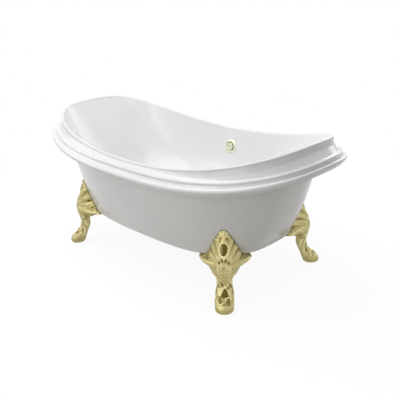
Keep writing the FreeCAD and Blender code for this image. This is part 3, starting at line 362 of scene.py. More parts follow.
@dataclass(frozen=True)
class TurnedBrass(Finish):
    """Turned and polished brass with faint clouding and hairline scratches."""

    cloud_tone: Colour = (0.66, 0.66, 0.45)
    cloud_scale: float = 70.0
    scratch_scale: Place = (900.0, 90.0, 900.0)
    scratch_depth: float = 0.00002
    metal: float = 0.95
    roughness: float = 0.27

    def material(self) -> bpy.types.Material:
        """Builds the polished brass.

        Returns:
            The material.
        """
        graph = Graph.of_material(self.name)
        clouds = graph.noise(self.cloud_scale, 4.0).between(0.4, 0.75)
        scratches = graph.noise(1.0, 3.0, graph.stretched(self.scratch_scale))
        graph.bump(scratches, self.scratch_depth)
        return graph.shade(Base_Color=graph.mix(0.5 * clouds, self.colour, self.cloud_tone),
                           Metallic=self.metal,
                           Roughness=self.roughness + 0.14 * clouds + 0.1 * scratches)


@dataclass(frozen=True)
class BareSteel(Finish):
    """Zinc-plated steel with a crystalline bloom."""

    bloom_tone: Colour = (0.44, 0.45, 0.46)
    stain_tone: Colour = (0.5, 0.46, 0.38)
    bloom_scale: float = 420.0
    stain_scale: float = 60.0
    bloom_depth: float = 0.00003
    metal: float = 0.9
    roughness: float = 0.3

    def material(self) -> bpy.types.Material:
        """Builds the plated steel.

        Returns:
            The material.
        """
        graph = Graph.of_material(self.name)
        bloom = graph.cells(self.bloom_scale).between(0.1, 0.7)
        stain = graph.noise(self.stain_scale, 4.0).between(0.45, 0.8)
        colour = graph.mix(0.5 * bloom, self.colour, self.bloom_tone)
        colour = graph.mix(0.4 * stain, colour, self.stain_tone)
        graph.bump(bloom, self.bloom_depth)
        return graph.shade(Base_Color=colour, Metallic=self.metal,
                           Roughness=self.roughness + 0.25 * stain)


@dataclass(frozen=True)
class SatinPaint(Finish):
    """Brushed satin paint over rolled steel, scuffed thin in places."""

    scuff_tone: Colour = (0.2, 0.19, 0.18)
    scuff_scale: float = 45.0
    grain_scale: float = 700.0
    grain_depth: float = 0.00005
    roughness: float = 0.42

    def material(self) -> bpy.types.Material:
        """Builds the satin paint.

        Returns:
            The material.
        """
        graph = Graph.of_material(self.name)
        scuff = graph.noise(self.scuff_scale, 6.0).between(0.6, 0.72)
        graph.bump(graph.noise(self.grain_scale, 2.0), self.grain_depth)
        return graph.shade(Base_Color=graph.mix(0.5 * scuff, self.colour, self.scuff_tone),
                           Roughness=self.roughness + 0.2 * scuff)


@dataclass(frozen=True)
class Chipboard(Finish):
    """Pressed wood chips, light and dark."""

    dark: Colour = (0.3, 0.2, 0.11)
    chip_scale: Place = (90.0, 220.0, 400.0)
    grain_scale: Place = (60.0, 500.0, 500.0)
    chip_depth: float = 0.0003
    roughness: float = 0.82

    def material(self) -> bpy.types.Material:
        """Builds the chipboard.

        Returns:
            The material.
        """
        graph = Graph.of_material(self.name)
        chips = graph.cells(1.0, graph.stretched(self.chip_scale))
        grain = graph.noise(1.0, 5.0, graph.stretched(self.grain_scale))
        tone = (0.6 * chips + 0.6 * grain).between(0.35, 0.95)
        graph.bump(chips + grain, self.chip_depth)
        return graph.shade(Base_Color=graph.mix(tone, self.dark, self.colour),
                           Roughness=self.roughness)


@dataclass(frozen=True)
class Moulded(Finish):
    """Moulded plastic or rubber: a fine grain and a little dust."""

    roughness: float = 0.5
    dust_tone: Colour = (0.45, 0.44, 0.42)
    dust_scale: float = 55.0
    grain_scale: float = 900.0
    grain_depth: float = 0.00006

    def material(self) -> bpy.types.Material:
        """Builds the moulded finish.

        Returns:
            The material.
        """
        graph = Graph.of_material(self.name)
        grain = graph.noise(self.grain_scale, 3.0)
        dust = graph.noise(self.dust_scale, 5.0).between(0.5, 0.8)
        graph.bump(grain, self.grain_depth)
        return graph.shade(Base_Color=graph.mix(0.22 * dust, self.colour, self.dust_tone),
                           Roughness=self.roughness + 0.12 * dust + 0.1 * grain)


class Slot(Enum):
    """The record's material slots, each with its finish."""

    ACRYLIC = GlossyWhite("glossy_white", "tub_acrylic", (0.85, 0.855, 0.86))
    CASTING = CastBrass("cast_brass", "foot_brass", (0.46, 0.396, 0.17))
    TRIM = TurnedBrass("polished_brass", "trim_brass", (0.84, 0.84, 0.64))
    ZINC = BareSteel("zinc_steel", "zinc_steel", (0.62, 0.63, 0.64))
    PAINT = SatinPaint("satin_black", "frame_paint", (0.045, 0.045, 0.05))
    BOARD = Chipboard("chipboard", "board", (0.62, 0.49, 0.33))
    WASTE = Moulded("grey_moulding", "waste_plastic", (0.62, 0.63, 0.62), 0.42)
    HOSE = Moulded("dark_hose", "hose_plastic", (0.1, 0.1, 0.11), 0.48)
    CABLE = Moulded("black_casing", "cable_casing", (0.04, 0.04, 0.045), 0.4)
    RUBBER = Moulded("gasket_rubber", "gasket_rubber", (0.045, 0.045, 0.045), 0.75)

    @property
    def finish(self) -> Finish:
        """Returns the slot's finish."""
        return self.value


class Wardrobe:
    """Builds each finish once and dresses objects in it."""

    def __init__(self, record: dict) -> None:
        """Keeps the record's slot of each node."""
        self.slots = {part["node"]: part["material_slot"] for part in record["subparts"]}
        self.made: dict[Slot, bpy.types.Material] = {}

    def slot_of(self, node: str) -> Slot:
        """Returns the slot that the record gives a CAD node."""
        return next(slot for slot in Slot if slot.finish.slot_name == self.slots[node])

    def dress(self, obj: bpy.types.Object, slot: Slot) -> None:
        """Gives an object one slot's finish all over.

        Args:
            obj: The object.
            slot: The slot.
        """
        if slot not in self.made:
            self.made[slot] = slot.finish.material()
        obj.data.materials.clear()
        obj.data.materials.append(self.made[slot])


# ---- Meshes ----

def new_object(name: str, points: np.ndarray, faces: Iterable[Iterable[int]]) -> bpy.types.Object:
    """Makes a smooth-shaded mesh object.

    Args:
        name: The object's name.
        points: One row of X, Y and Z per point, in metres.
        faces: The points of each face.

    Returns:
        The linked object.
    """
    mesh = bpy.data.meshes.new(name)
    mesh.from_pydata([tuple(point) for point in points], [], [tuple(face) for face in faces])
    mesh.validate()
    mesh.shade_smooth()
    obj = bpy.data.objects.new(name, mesh)
    bpy.context.scene.collection.objects.link(obj)
    return obj


def rows(values: bpy.types.bpy_prop_collection, name: str) -> np.ndarray:
    """Reads a three-number property of every point of a mesh.

    Args:
        values: The mesh's points.
        name: The property.

    Returns:
        One row per point.
    """
    flat = np.zeros(len(values) * 3, np.float32)
    values.foreach_get(name, flat)
    return flat.reshape(-1, 3).astype(float)


def smoothstep(low: float, high: float, value: np.ndarray) -> np.ndarray:
    """Rises smoothly from 0 at low to 1 at high."""
    share = np.clip((value - low) / (high - low), 0.0, 1.0)
    return share * share * (3.0 - 2.0 * share)


def bell(distance: np.ndarray, width: float) -> np.ndarray:
    """Returns 1 at no distance, falling off over about a width."""
    return np.exp(-((distance / width) ** 2))


def lobes(phase: np.ndarray, roundness: float = 0.6) -> np.ndarray:
    """Returns rounded lobes with sharp grooves at whole numbers, from 0 to 1."""
    return np.abs(np.sin(math.pi * phase)) ** roundness


def patches(points: np.ndarray, size: float, octaves: int) -> np.ndarray:
    """Returns smooth irregular patches of about a size in millimetres, from -1 to 1."""
    found = [noise.fractal(Vector(point) / size, 1.0, 2.0, octaves) for point in points]
    return np.clip(np.array(found), -1.0, 1.0)


@dataclass(frozen=True)
class Line:
    """A line that turned pieces stand on."""

    origin: Vector
    direction: Vector

    def matrix(self) -> Matrix:
        """Returns the placement that takes local Z to the direction."""
        turn = Vector((0, 0, 1)).rotation_difference(self.direction)
        return Matrix.Translation(self.origin) @ turn.to_matrix().to_4x4()


Outline = list[Pair]


def turned(name: str, outline: Outline, line: Line, steps: int = 128) -> bpy.types.Object:
    """Turns an outline, which starts and ends on the line, about it.

    Args:
        name: The object's name.
        outline: Radius and height pairs in millimetres, in order.
        line: The line to turn about.
        steps: Points round each ring.

    Returns:
        The object.
    """
    placement = line.matrix()
    points: list[Vector] = []
    rings: list[list[int]] = []
    for radius, height in outline:
        count = steps if radius > 0 else 1
        rings.append(list(range(len(points), len(points) + count)))
        for i in range(count):
            angle = math.tau * i / steps
            local = Vector((radius * math.cos(angle), radius * math.sin(angle), height)) * MM
            points.append(placement @ local)
    faces = []
    for low, high in zip(rings, rings[1:]):
        for i in range(steps):
            j = i + 1
            corners = (low[i % len(low)], low[j % len(low)],
                       high[j % len(high)], high[i % len(high)])
            faces.append(list(dict.fromkeys(corners)))
    return new_object(name, np.array(points), faces)


def rounded(outline: Outline, radius: float) -> Outline:
    """Rounds the corners between an outline's two ends.

    Args:
        outline: Its points, in order.
        radius: How far from a corner its rounding starts; a short side allows less.

    Returns:
        The rounded outline.
    """
    result = [outline[0]]
    for before, corner, after in zip(outline, outline[1:], outline[2:]):
        middle = Vector(corner)
        back = Vector(before) - middle
        on = Vector(after) - middle
        cut = min(radius, 0.45 * back.length, 0.45 * on.length)
        start = middle + back.normalized() * cut
        end = middle + on.normalized() * cut
        for share in (0.0, 0.25, 0.5, 0.75, 1.0):
            place = start.lerp(middle, share).lerp(middle.lerp(end, share), share)
            result.append((place.x, place.y))
    return result + [outline[-1]]


# ---- Sub-assemblies ----

@dataclass
class Assembly:
    """A group of pieces that are built and dressed together."""

    frame: dict
    wardrobe: Wardrobe

    def node(self, name: str) -> bpy.types.Object:
        """Returns a CAD node's object."""
        return self.frame["nodes"][name]

    def keep(self, *names: str) -> None:
        """Dresses CAD nodes whose own shape is shown.

        Args:
            names: The nodes.
        """
        for name in names:
            self.wardrobe.dress(self.node(name), self.wardrobe.slot_of(name))
            LOG.info("dressed %s", name)

    def stand_in(self, piece: bpy.types.Object, body: str, node: str) -> None:
        """Dresses a new piece, rides it on a body and hides the node it stands for.

        Args:
            piece: The new piece.
            body: The CAD body that carries it.
            node: The CAD node it replaces, whose finish it takes.
        """
        slot = self.wardrobe.slot_of(node)
        self.wardrobe.dress(piece, slot)
        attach(piece, body)
        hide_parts(node)
        LOG.info("built %s on %s", piece.name, body)


@dataclass
class Shells(Assembly):
    """The basin and the outer skirt."""

    def build(self) -> None:
        """Dresses both shells."""
        self.keep("basin", "skirt")


@dataclass
class Underside(Assembly):
    """Frame, base board and the fixings beneath the tub."""

    def build(self) -> None:
        """Dresses the frame and its fixings."""
        self.keep("foot_plates", "frame_rails", "frame_crossmembers", "base_board", "board_screws",
                  "foot_bolts", "foot_washers")


@dataclass
class Overflow(Assembly):
    """Turning knob in its face ring, with the fittings and the hose behind the wall.

    The knob's sizes are in millimetres, and its low and top are measured off the wall.
    """

    radius: float = 21.3
    low: float = 2.5
    top: float = 8.0
    bevel: float = 1.2
    rounding: float = 0.7
    dimple: float = 2.2

    def line(self) -> Line:
        """Returns the knob's line, from the record's own joint."""
        joint = next(j for j in self.frame["joints"] if j["name"] == "knob_turn")
        return Line(Vector(joint["pos_m"]), Vector(joint["axis"]).normalized())

    def outline(self) -> Outline:
        """Draws half of the knob's section.

        Returns:
            Its points, from the middle of the back to the middle of the face.
        """
        edge, top = self.radius, self.top
        back = [(0, self.low), (edge - self.bevel, self.low), (edge, self.low + self.bevel)]
        rim = [(edge, top - 3.6), (edge - 0.4, top - 1.6), (edge - 1.8, top), (edge - 4.8, top)]
        dish = [(edge - 5.8, top - 0.6), (edge - 10.8, top - 1.0)]
        dimple = [(self.dimple + 1.0, top - 1.1), (self.dimple, top - 1.5), (0, top - 2.4)]
        return back + rim + dish + dimple

    def build(self) -> None:
        """Builds the knob and dresses the rest."""
        knob = turned("knob", rounded(self.outline(), self.rounding), self.line())
        self.stand_in(knob, "knob", "overflow_knob")
        self.keep("overflow_ring", "overflow_gasket", "overflow_body", "knob_spindle", "cable_cam",
                  "overflow_hose", "hose_nuts", "control_cable", "cable_glands")


@dataclass
class Waste(Assembly):
    """Drain, pop-up stopper and the pipework under the floor."""

    def build(self) -> None:
        """Dresses the waste."""
        self.keep("drain_flange", "drain_gasket", "waste_body", "stopper_cap", "stopper_seal",
                  "stopper_stem", "lift_pin", "tail_pipe", "tail_washer", "tail_nut")


@dataclass(frozen=True)
class Pit:
    """A small oval pit in the carving, in millimetres across and up the foot."""

    across: float
    height: float
    half_width: float
    half_height: float
    depth: float
    lean: float = 0.0    # how far it leans sideways for each step up

    def cut(self, across: np.ndarray, height: np.ndarray) -> np.ndarray:
        """Works out how deep the pit is.

        Args:
            across: Place across of every point.
            height: Height of every point.

        Returns:
            The depth at every point.
        """
        rise = height - self.height
        side = across - self.across - self.lean * rise
        return self.depth * bell(np.hypot(side / self.half_width, rise / self.half_height), 1.0)


@dataclass(frozen=True)
class Carving:
    """The foot's relief, over the casting's front.

    Sizes are in millimetres. Across runs from the foot's middle line, and heights are above the
    floor. Relief is over 0 where the metal stands proud and under 0 where it is cut in.
    """

    # the sunk oval in the middle of the leaf
    boss_height: float = 308.0
    boss_half_width: float = 22.0
    boss_half_height: float = 30.0
    boss_depth: float = 6.2
    boss_dome: float = 1.4
    # the tilt raises one side of the oval's floor, and that side takes a paler tone: painted light
    # from one side
    boss_tilt: float = 2.8
    boss_rim: float = 1.5
    boss_rim_fall: float = 1.2
    # the leaf's lobes: degrees from upright of its middle and of each groove, and its reach there
    fan_root: float = 232.0
    fan_fall: float = 0.9
    fan_grooves: tuple[float, ...] = (0.0, 11.0, 28.0, 54.0, 80.0, 108.0)
    fan_reach: tuple[float, ...] = (161.0, 141.0, 112.0, 87.0, 115.0, 128.0)
    fan_root_depth: float = 1.4
    fan_edge_depth: float = 3.4
    vein_depth: float = 1.1
    vein_length: float = 34.0
    # the shell that crowns the leaf
    crest_root: float = 352.0
    crest_from: Pair = (344.0, 354.0)
    crest_side: Pair = (26.0, 38.0)
    crest_depth: float = 2.4
    crest_lobes: float = 2.5
    crest_pit: Pit = Pit(16.0, 356.0, 7.5, 5.5, 4.6)
    # the knot of small leaves under the oval
    cluster_below: Pair = (270.0, 280.0)
    cluster_side: Pair = (30.0, 42.0)
    cluster_height: float = 252.0
    cluster_leaf: float = 15.0
    cluster_depth: float = 2.2
    cluster_pits: tuple[Pit, ...] = (Pit(8.5, 256.0, 5.6, 10.0, 6.5, 0.25),
                                     Pit(24.0, 246.0, 5.6, 9.0, 6.5, -0.3))
    # the neck's scales and its plain collar
    neck_bottom: float = 142.0
    collar: float = 36.0
    scale_size: float = 23.0
    scale_depth: float = 1.8
    neck_half_width: float = 28.0
    neck_widens_from: float = 165.0
    neck_widening: float = 0.55
    roll_width: float = 3.6
    roll_depth: float = 2.0
    spot: Pit = Pit(0.0, 216.0, 5.0, 7.0, 3.6)
    # the two leaves that cross over the hollow
    cross_height: float = 110.0
    cross_width: float = 6.5
    cross_depth: float = 3.0
    cross_leaf: float = 16.0
    commas: tuple[Pit, ...] = (Pit(11.0, 122.0, 4.6, 10.5, 6.0, 0.6),
                               Pit(-19.0, 108.0, 3.6, 8.5, 4.4, -0.6))
    # the three-cornered hollow and the upright leaves beside it
    hollow_top: float = 103.0
    hollow_middle: float = -3.0
    hollow_half_width: float = 4.0
    hollow_spread: float = 0.55
    hollow_depth: float = 5.2
    blade_width: float = 17.0
    # the scrolls and the toe pad under them
    scroll_top: float = 74.0
    scroll_height: float = 60.0
    scroll_across: float = 20.0
    scroll_reach: float = 13.0
    scroll_width: float = 3.8
    scroll_ridge: float = 3.8
    scroll_depth: float = 3.4
    pad_height: float = 44.0
    band_blend: float = 4.0
    # the leaves on the leg's sides, placed behind the shin, which is height and outward pairs
    shin: tuple[Pair, ...] = ((0, 172), (18, 183), (36, 174), (58, 152), (80, 128), (102, 115),
                              (147, 112), (187, 122), (222, 126))
    flank_leaf: float = 21.0
    flank_ridge: float = 4.6
    flank_depth: float = 3.2
    flank_end: Pair = (38.0, 50.0)
    flank_pits: tuple[Pit, ...] = (Pit(20.0, 82.0, 6.0, 11.0, 4.6, -0.4),
                                   Pit(9.0, 121.0, 6.0, 11.0, 4.6, -0.4))

    def boss(self, across: np.ndarray, height: np.ndarray) -> tuple[np.ndarray, np.ndarray]:
        """Carves the sunk oval and its rim.

        Args:
            across: Place across of every point.
            height: Height of every point.

        Returns:
            Its relief, and its share over the leaf, from 0 to 1.
        """
        rise = (height - self.boss_height) / self.boss_half_height
        side = across / self.boss_half_width
        reach = np.hypot(side, rise)
        dome = self.boss_dome * np.sqrt(np.clip(1.0 - (reach / 0.8) ** 2, 0.0, 1.0))
        # painted light: the tilt lifts one side of the oval, which the relief then colours paler
        dome = dome + self.boss_tilt * smoothstep(-0.3, 0.8, side) - self.boss_depth
        rim = (self.boss_rim - self.boss_rim_fall * rise) * bell(reach - 1.12, 0.16)
        return dome * (1.0 - smoothstep(0.74, 0.96, reach)) + rim, 1.0 - smoothstep(1.2, 1.4, reach)

    def fan(self, across: np.ndarray, height: np.ndarray, warp: np.ndarray) -> np.ndarray:
        """Carves the leaf's lobes: nearly flat by its root, deeply scalloped at its edge.

        Args:
            across: Place across of every point.
            height: Height of every point.
            warp: Slow unevenness at every point.

        Returns:
            The relief of every point.
        """
        rise = height - self.fan_root
        reach = np.hypot(across, rise)
        turn = np.degrees(np.arctan2(np.abs(across), rise))
        lobes_passed = (0.5, *range(1, len(self.fan_grooves)))
        phase = np.interp(turn, self.fan_grooves, lobes_passed) + 0.12 * warp
        edge = smoothstep(0.5, 1.0, reach / np.interp(turn, self.fan_grooves, self.fan_reach))
        veins = bell((2.0 * phase + reach / self.vein_length + 0.8 * warp) % 1.0 - 0.5, 0.16)
        depth = self.fan_root_depth + self.fan_edge_depth * edge
        return depth * (lobes(phase, 0.8) - 0.85) - self.vein_depth * veins

    def crest(self, across: np.ndarray, height: np.ndarray) -> np.ndarray:
        """Carves the small shell that crowns the leaf, over a pair of pits.

        Args:
            across: Place across of every point.
            height: Height of every point.

        Returns:
            The relief of every point.
        """
        turn = np.arctan2(across, height - self.crest_root)
        phase = self.crest_lobes * turn / (math.pi / 2) + 0.5
        return self.crest_depth * lobes(phase) - 1.5 - self.crest_pit.cut(np.abs(across), height)

    def cluster(self, across: np.ndarray, height: np.ndarray) -> np.ndarray:
        """Carves the knot of small leaves under the oval, with deep pits between them.

        Args:
            across: Place across of every point.
            height: Height of every point.

        Returns:
            The relief of every point.
        """
        near = np.abs(across)
        leaves = lobes(near / self.cluster_leaf + 0.015 * (height - self.cluster_height), 0.7)
        pits = sum(pit.cut(near, height) for pit in self.cluster_pits)
        return self.cluster_depth * leaves - 0.8 - pits

    def neck(self, across: np.ndarray, height: np.ndarray, warp: np.ndarray) -> np.ndarray:
        """Carves tiers of scales between two rolled edges, dying away into a plain collar.

        Args:
            across: Place across of every point.
            height: Height of every point.
            warp: Slow unevenness at every point.

        Returns:
            The relief of every point.
        """
        wave = 0.25 * np.cos(math.tau * across / self.scale_size)
        scales = self.scale_depth * lobes(height / self.scale_size + wave + 0.5 * warp, 0.5) - 1.2
        above = np.clip(height - self.neck_widens_from, 0.0, None)
        edge = self.neck_half_width + self.neck_widening * above
        roll = self.roll_depth * bell(np.abs(across) - edge, self.roll_width)
        fade = smoothstep(self.neck_bottom, self.neck_bottom + self.collar, height)
        return fade * (scales - roll) - self.spot.cut(across, height)

    def crossing(self, across: np.ndarray, height: np.ndarray) -> np.ndarray:
        """Carves two leaves that cross, with a comma-shaped pit beside each stem.

        Args:
            across: Place across of every point.
            height: Height of every point.

        Returns:
            The relief of every point.
        """
        rise = height - self.cross_height
        bend = 0.9 * across * (1.0 - 0.011 * np.abs(across))
        arms = np.maximum(bell(bend - rise, self.cross_width), bell(-bend - rise, self.cross_width))
        arms = self.cross_depth * arms * (1.0 - 0.6 * smoothstep(0.0, 12.0, rise))
        leaf = 1.2 * lobes((np.abs(across) + 0.6 * rise) / self.cross_leaf, 0.7)
        return arms + leaf - 1.8 - sum(comma.cut(across, height) for comma in self.commas)

    def hollow(self, across: np.ndarray, height: np.ndarray) -> np.ndarray:
        """Carves the three-cornered hollow over the scrolls, between two upright leaves.

        Args:
            across: Place across of every point.
            height: Height of every point.

        Returns:
            The relief of every point.
        """
        near = np.abs(across - self.hollow_middle)
        below = np.clip(self.hollow_top - height, 0.0, None)
        width = self.hollow_half_width + self.hollow_spread * below
        sunk = 1.0 - smoothstep(width - 3.0, width + 3.0, near)
        blades = 2.2 * lobes((near - width) / self.blade_width, 0.7) - 1.2
        return blades * (1.0 - sunk) - self.hollow_depth * sunk

    def scrolls(self, across: np.ndarray, height: np.ndarray) -> np.ndarray:
        """Carves two scrolls over the toe pad, one open upwards and the other downwards.

        Args:
            across: Place across of every point.
            height: Height of every point.

        Returns:
            The relief of every point.
        """
        rise = height - self.scroll_height
        reach = np.hypot(0.85 * (np.abs(across) - self.scroll_across), rise)
        lean = np.sign(across) * rise / (reach + 1.0)
        ridge = bell(reach - self.scroll_reach, self.scroll_width) * (1.0 - lean)
        return self.scroll_ridge * ridge - self.scroll_depth

    def flank(self, outward: np.ndarray, height: np.ndarray, warp: np.ndarray) -> np.ndarray:
        """Carves the leaves that wrap the leg's sides behind the shin, and end on plain metal.

        Args:
            outward: Place towards the toe of every point.
            height: Height of every point.
            warp: Slow unevenness at every point.

        Returns:
            The relief of every point.
        """
        behind = np.interp(height, *zip(*self.shin)) - outward
        phase = behind / self.flank_leaf + height / (2.2 * self.flank_leaf) + 0.3 * warp
        leaves = self.flank_ridge * lobes(phase, 0.8) - self.flank_depth
        leaves = leaves - sum(pit.cut(behind, height) for pit in self.flank_pits)
        return leaves * (1.0 - smoothstep(*self.flank_end, behind))

    def depth(self, across: np.ndarray, height: np.ndarray, warp: np.ndarray) -> np.ndarray:
        """Works out how far the relief stands in front of the plain casting.

        Args:
            across: Place across the foot of every point.
            height: Height of every point.
            warp: Slow unevenness at every point, from -1 to 1, so that nothing looks ruled.

        Returns:
            The relief of every point.
        """
        near = np.abs(across)
        crown = smoothstep(*self.crest_from, height) * (1.0 - smoothstep(*self.crest_side, near))
        under = 1.0 - smoothstep(*self.cluster_below, height)
        under = under * (1.0 - smoothstep(*self.cluster_side, near))
        leaf = self.fan(across, height, warp)
        leaf = leaf + crown * (self.crest(across, height) - leaf)
        leaf = leaf + under * (self.cluster(across, height) - leaf)
        boss, inside = self.boss(across, height)
        leaf = leaf + inside * (boss - leaf)
        bands = ((self.fan_root - self.fan_fall * near, leaf),
                 (self.neck_bottom, self.neck(across, height, warp)),
                 (self.hollow_top, self.crossing(across, height)),
                 (self.scroll_top, self.hollow(across, height)),
                 (self.pad_height, self.scrolls(across, height)))
        relief = np.zeros_like(height)
        for bottom, band in reversed(bands):
            share = smoothstep(bottom - self.band_blend, bottom + self.band_blend, height)
            relief = relief + share * (band - relief)
        return relief


@dataclass
class ClawFeet(Assembly):
    """Four cast feet: the CAD casting, carved in one corner and mirrored to the others."""

    carving: Carving = Carving()
    points_at: float = 50.5                   # degrees round from +X, rear right foot
    pad_reach: float = 138.2                  # from the foot's own origin out to its pad's mount
    inner_place: Pair = (300.0, 100.0)        # the casting's front faces away from here
    weld: float = 0.01
    voxel: float = 2.2
    smoothing: int = 2
    warp_size: float = 45.0
    rough_size: float = 11.0
    grain: float = 0.6
    edge_cut: float = 1.5                     # how much deeper the cuts are at the wings' edge
    wing_from: Pair = (215.0, 235.0)
    flank_under: Pair = (140.0, 170.0)
    pad_under: Pair = (38.0, 48.0)
    sole: Pair = (1.0, 6.0)
    # painted shade: the toe pad is dark at its foot and pale at its top, over these heights
    toe_rise: Pair = (22.0, 36.0)
    toe_shaded_tone: float = 0.4
    toe_lit_tone: float = 0.68
    plain_tone: float = 0.66
    # painted shade: the tone of the faces turned towards the tub's inside, under the tub
    back_shade_tone: float = 0.35
    relief_tone: float = 0.14                 # how much paler for each millimetre of relief

    def local(self, points: np.ndarray) -> tuple[np.ndarray, np.ndarray, np.ndarray]:
        """Measures points in the rear right foot's own directions.

        Args:
            points: Rows of X, Y and Z, in metres.

        Returns:
            Place across, place outward and height of every point, in millimetres.
        """
        mount = next(m for m in self.frame["record"]["mounts"] if m["name"] == "pad_rear_right")
        turn = math.radians(self.points_at)
        out = np.array([math.cos(turn), math.sin(turn)])
        across = np.array([-out[1], out[0]])
        flat = points[:, :2] / MM - (np.array(mount["pos_m"][:2]) / MM - self.pad_reach * out)
        return flat @ across, flat @ out, points[:, 2] / MM

    def turned_aside(self, facing: np.ndarray) -> np.ndarray:
        """Returns how far each surface faces across the foot, from -1 to 1."""
        turn = math.radians(self.points_at)
        return facing[:, :2] @ np.array([-math.sin(turn), math.cos(turn)])

    def turned_out(self, points: np.ndarray, facing: np.ndarray) -> np.ndarray:
        """Works out how far each surface faces away from the tub's inside.

        Args:
            points: Rows of X, Y and Z, in metres.
            facing: The surface's direction at every point.

        Returns:
            From -1 to 1 at every point.
        """
        away = points[:, :2] - np.array(self.inner_place) * MM
        away /= np.linalg.norm(away, axis=1)[:, None]
        return (facing[:, :2] * away).sum(1)

    def casting(self) -> bpy.types.Mesh:
        """Copies the plain casting of the rear right corner.

        Returns:
            The casting as an even net of small faces.
        """
        source = self.node("foot_rear_right")
        plain = bpy.data.objects.new("plain_foot", source.data.copy())
        bpy.context.scene.collection.objects.link(plain)
        weld = plain.modifiers.new("weld", "WELD")
        weld.merge_threshold = self.weld * MM
        remesh = plain.modifiers.new("remesh", "REMESH")
        remesh.mode = "VOXEL"
        remesh.voxel_size = self.voxel * MM
        smooth = plain.modifiers.new("smooth", "SMOOTH")
        smooth.iterations = self.smoothing
        smooth.factor = 0.5
        evaluated = plain.evaluated_get(bpy.context.evaluated_depsgraph_get())
        made = bpy.data.meshes.new_from_object(evaluated)
        bpy.data.objects.remove(plain)
        return made

    def carve(self, mesh: bpy.types.Mesh) -> tuple[np.ndarray, np.ndarray]:
        """Cuts the relief into the casting.

        Args:
            mesh: The plain casting.

        Returns:
            The carved points, and each point's tone from 0 in a hollow to 1 on a height, with
            painted shade on the back faces and the toe pad.
        """
        points = rows(mesh.vertices, "co")
        facing = rows(mesh.vertices, "normal")
        across, outward, height = self.local(points)
        out = self.turned_out(points, facing)
        front = smoothstep(-0.2, 0.35, out)
        wings = front * (1.0 - smoothstep(0.2, 0.6, out)) * smoothstep(*self.wing_from, height)
        warp = patches(points / MM, self.warp_size, 2)
        rough = patches(points / MM, self.rough_size, 3)
        pad = 1.0 - smoothstep(*self.pad_under, height)
        relief = self.carving.depth(across, height, warp) + self.grain * rough * (1.0 - pad)
        aside = smoothstep(0.4, 0.7, np.abs(self.turned_aside(facing)))
        aside = aside * (1.0 - smoothstep(*self.flank_under, height)) * (1.0 - pad)
        relief = relief + aside * (self.carving.flank(outward, height, warp) - relief)
        front = np.maximum(front, aside)
        cut = relief * front * (1.0 + self.edge_cut * wings) * smoothstep(*self.sole, height)
        carved = points + facing * (cut * MM)[:, None]
        carved[:, 2] = np.maximum(carved[:, 2], points[:, 2].min())
        shade = np.clip(self.plain_tone + self.relief_tone * relief, 0.0, 1.0) * (1.0 - pad)
        # painted shade: the toe pad darker at its foot and paler towards its top
        toe = self.toe_shaded_tone + (self.toe_lit_tone - self.toe_shaded_tone) * smoothstep(*self.toe_rise, height)
        # painted shade on the faces turned towards the tub's inside, which take the dark back tone
        return carved, (shade + pad * toe) * front + self.back_shade_tone * (1.0 - front)

    def build(self) -> None:
        """Carves one foot and mirrors it to the four corners."""
        mesh = self.casting()
        carved, shade = self.carve(mesh)
        faces = [tuple(polygon.vertices) for polygon in mesh.polygons]
        for node, flip in (("foot_rear_right", (1, 1)), ("foot_rear_left", (-1, 1)),
                           ("foot_front_right", (1, -1)), ("foot_front_left", (-1, -1))):
            turned_over = flip[0] * flip[1] < 0
            ordered = [face[::-1] for face in faces] if turned_over else faces
            foot = new_object(node + "_carved", carved * np.array([*flip, 1]), ordered)
            worn_and_shaded = foot.data.attributes.new(RELIEF_AND_SHADE, "FLOAT", "POINT")
            worn_and_shaded.data.foreach_set("value", shade.astype(np.float32))
            self.stand_in(foot, "tub", node)


# ---- Studio ----

@dataclass(frozen=True)
class Lamp:
    """A square area lamp that faces a point on the object."""

    name: str
    place: Place
    aim: Place
    side: float
    power: float
    tint: Colour = (1.0, 1.0, 1.0)

    def build(self) -> None:
        """Makes the lamp."""
        light = bpy.data.lights.new(self.name, "AREA")
        light.shape = "SQUARE"
        light.size = self.side
        light.energy = self.power
        light.color = self.tint
        lamp = bpy.data.objects.new(self.name, light)
        bpy.context.scene.collection.objects.link(lamp)
        lamp.location = self.place
        beam = Vector(self.aim) - Vector(self.place)
        lamp.rotation_euler = beam.to_track_quat("-Z", "Y").to_euler()


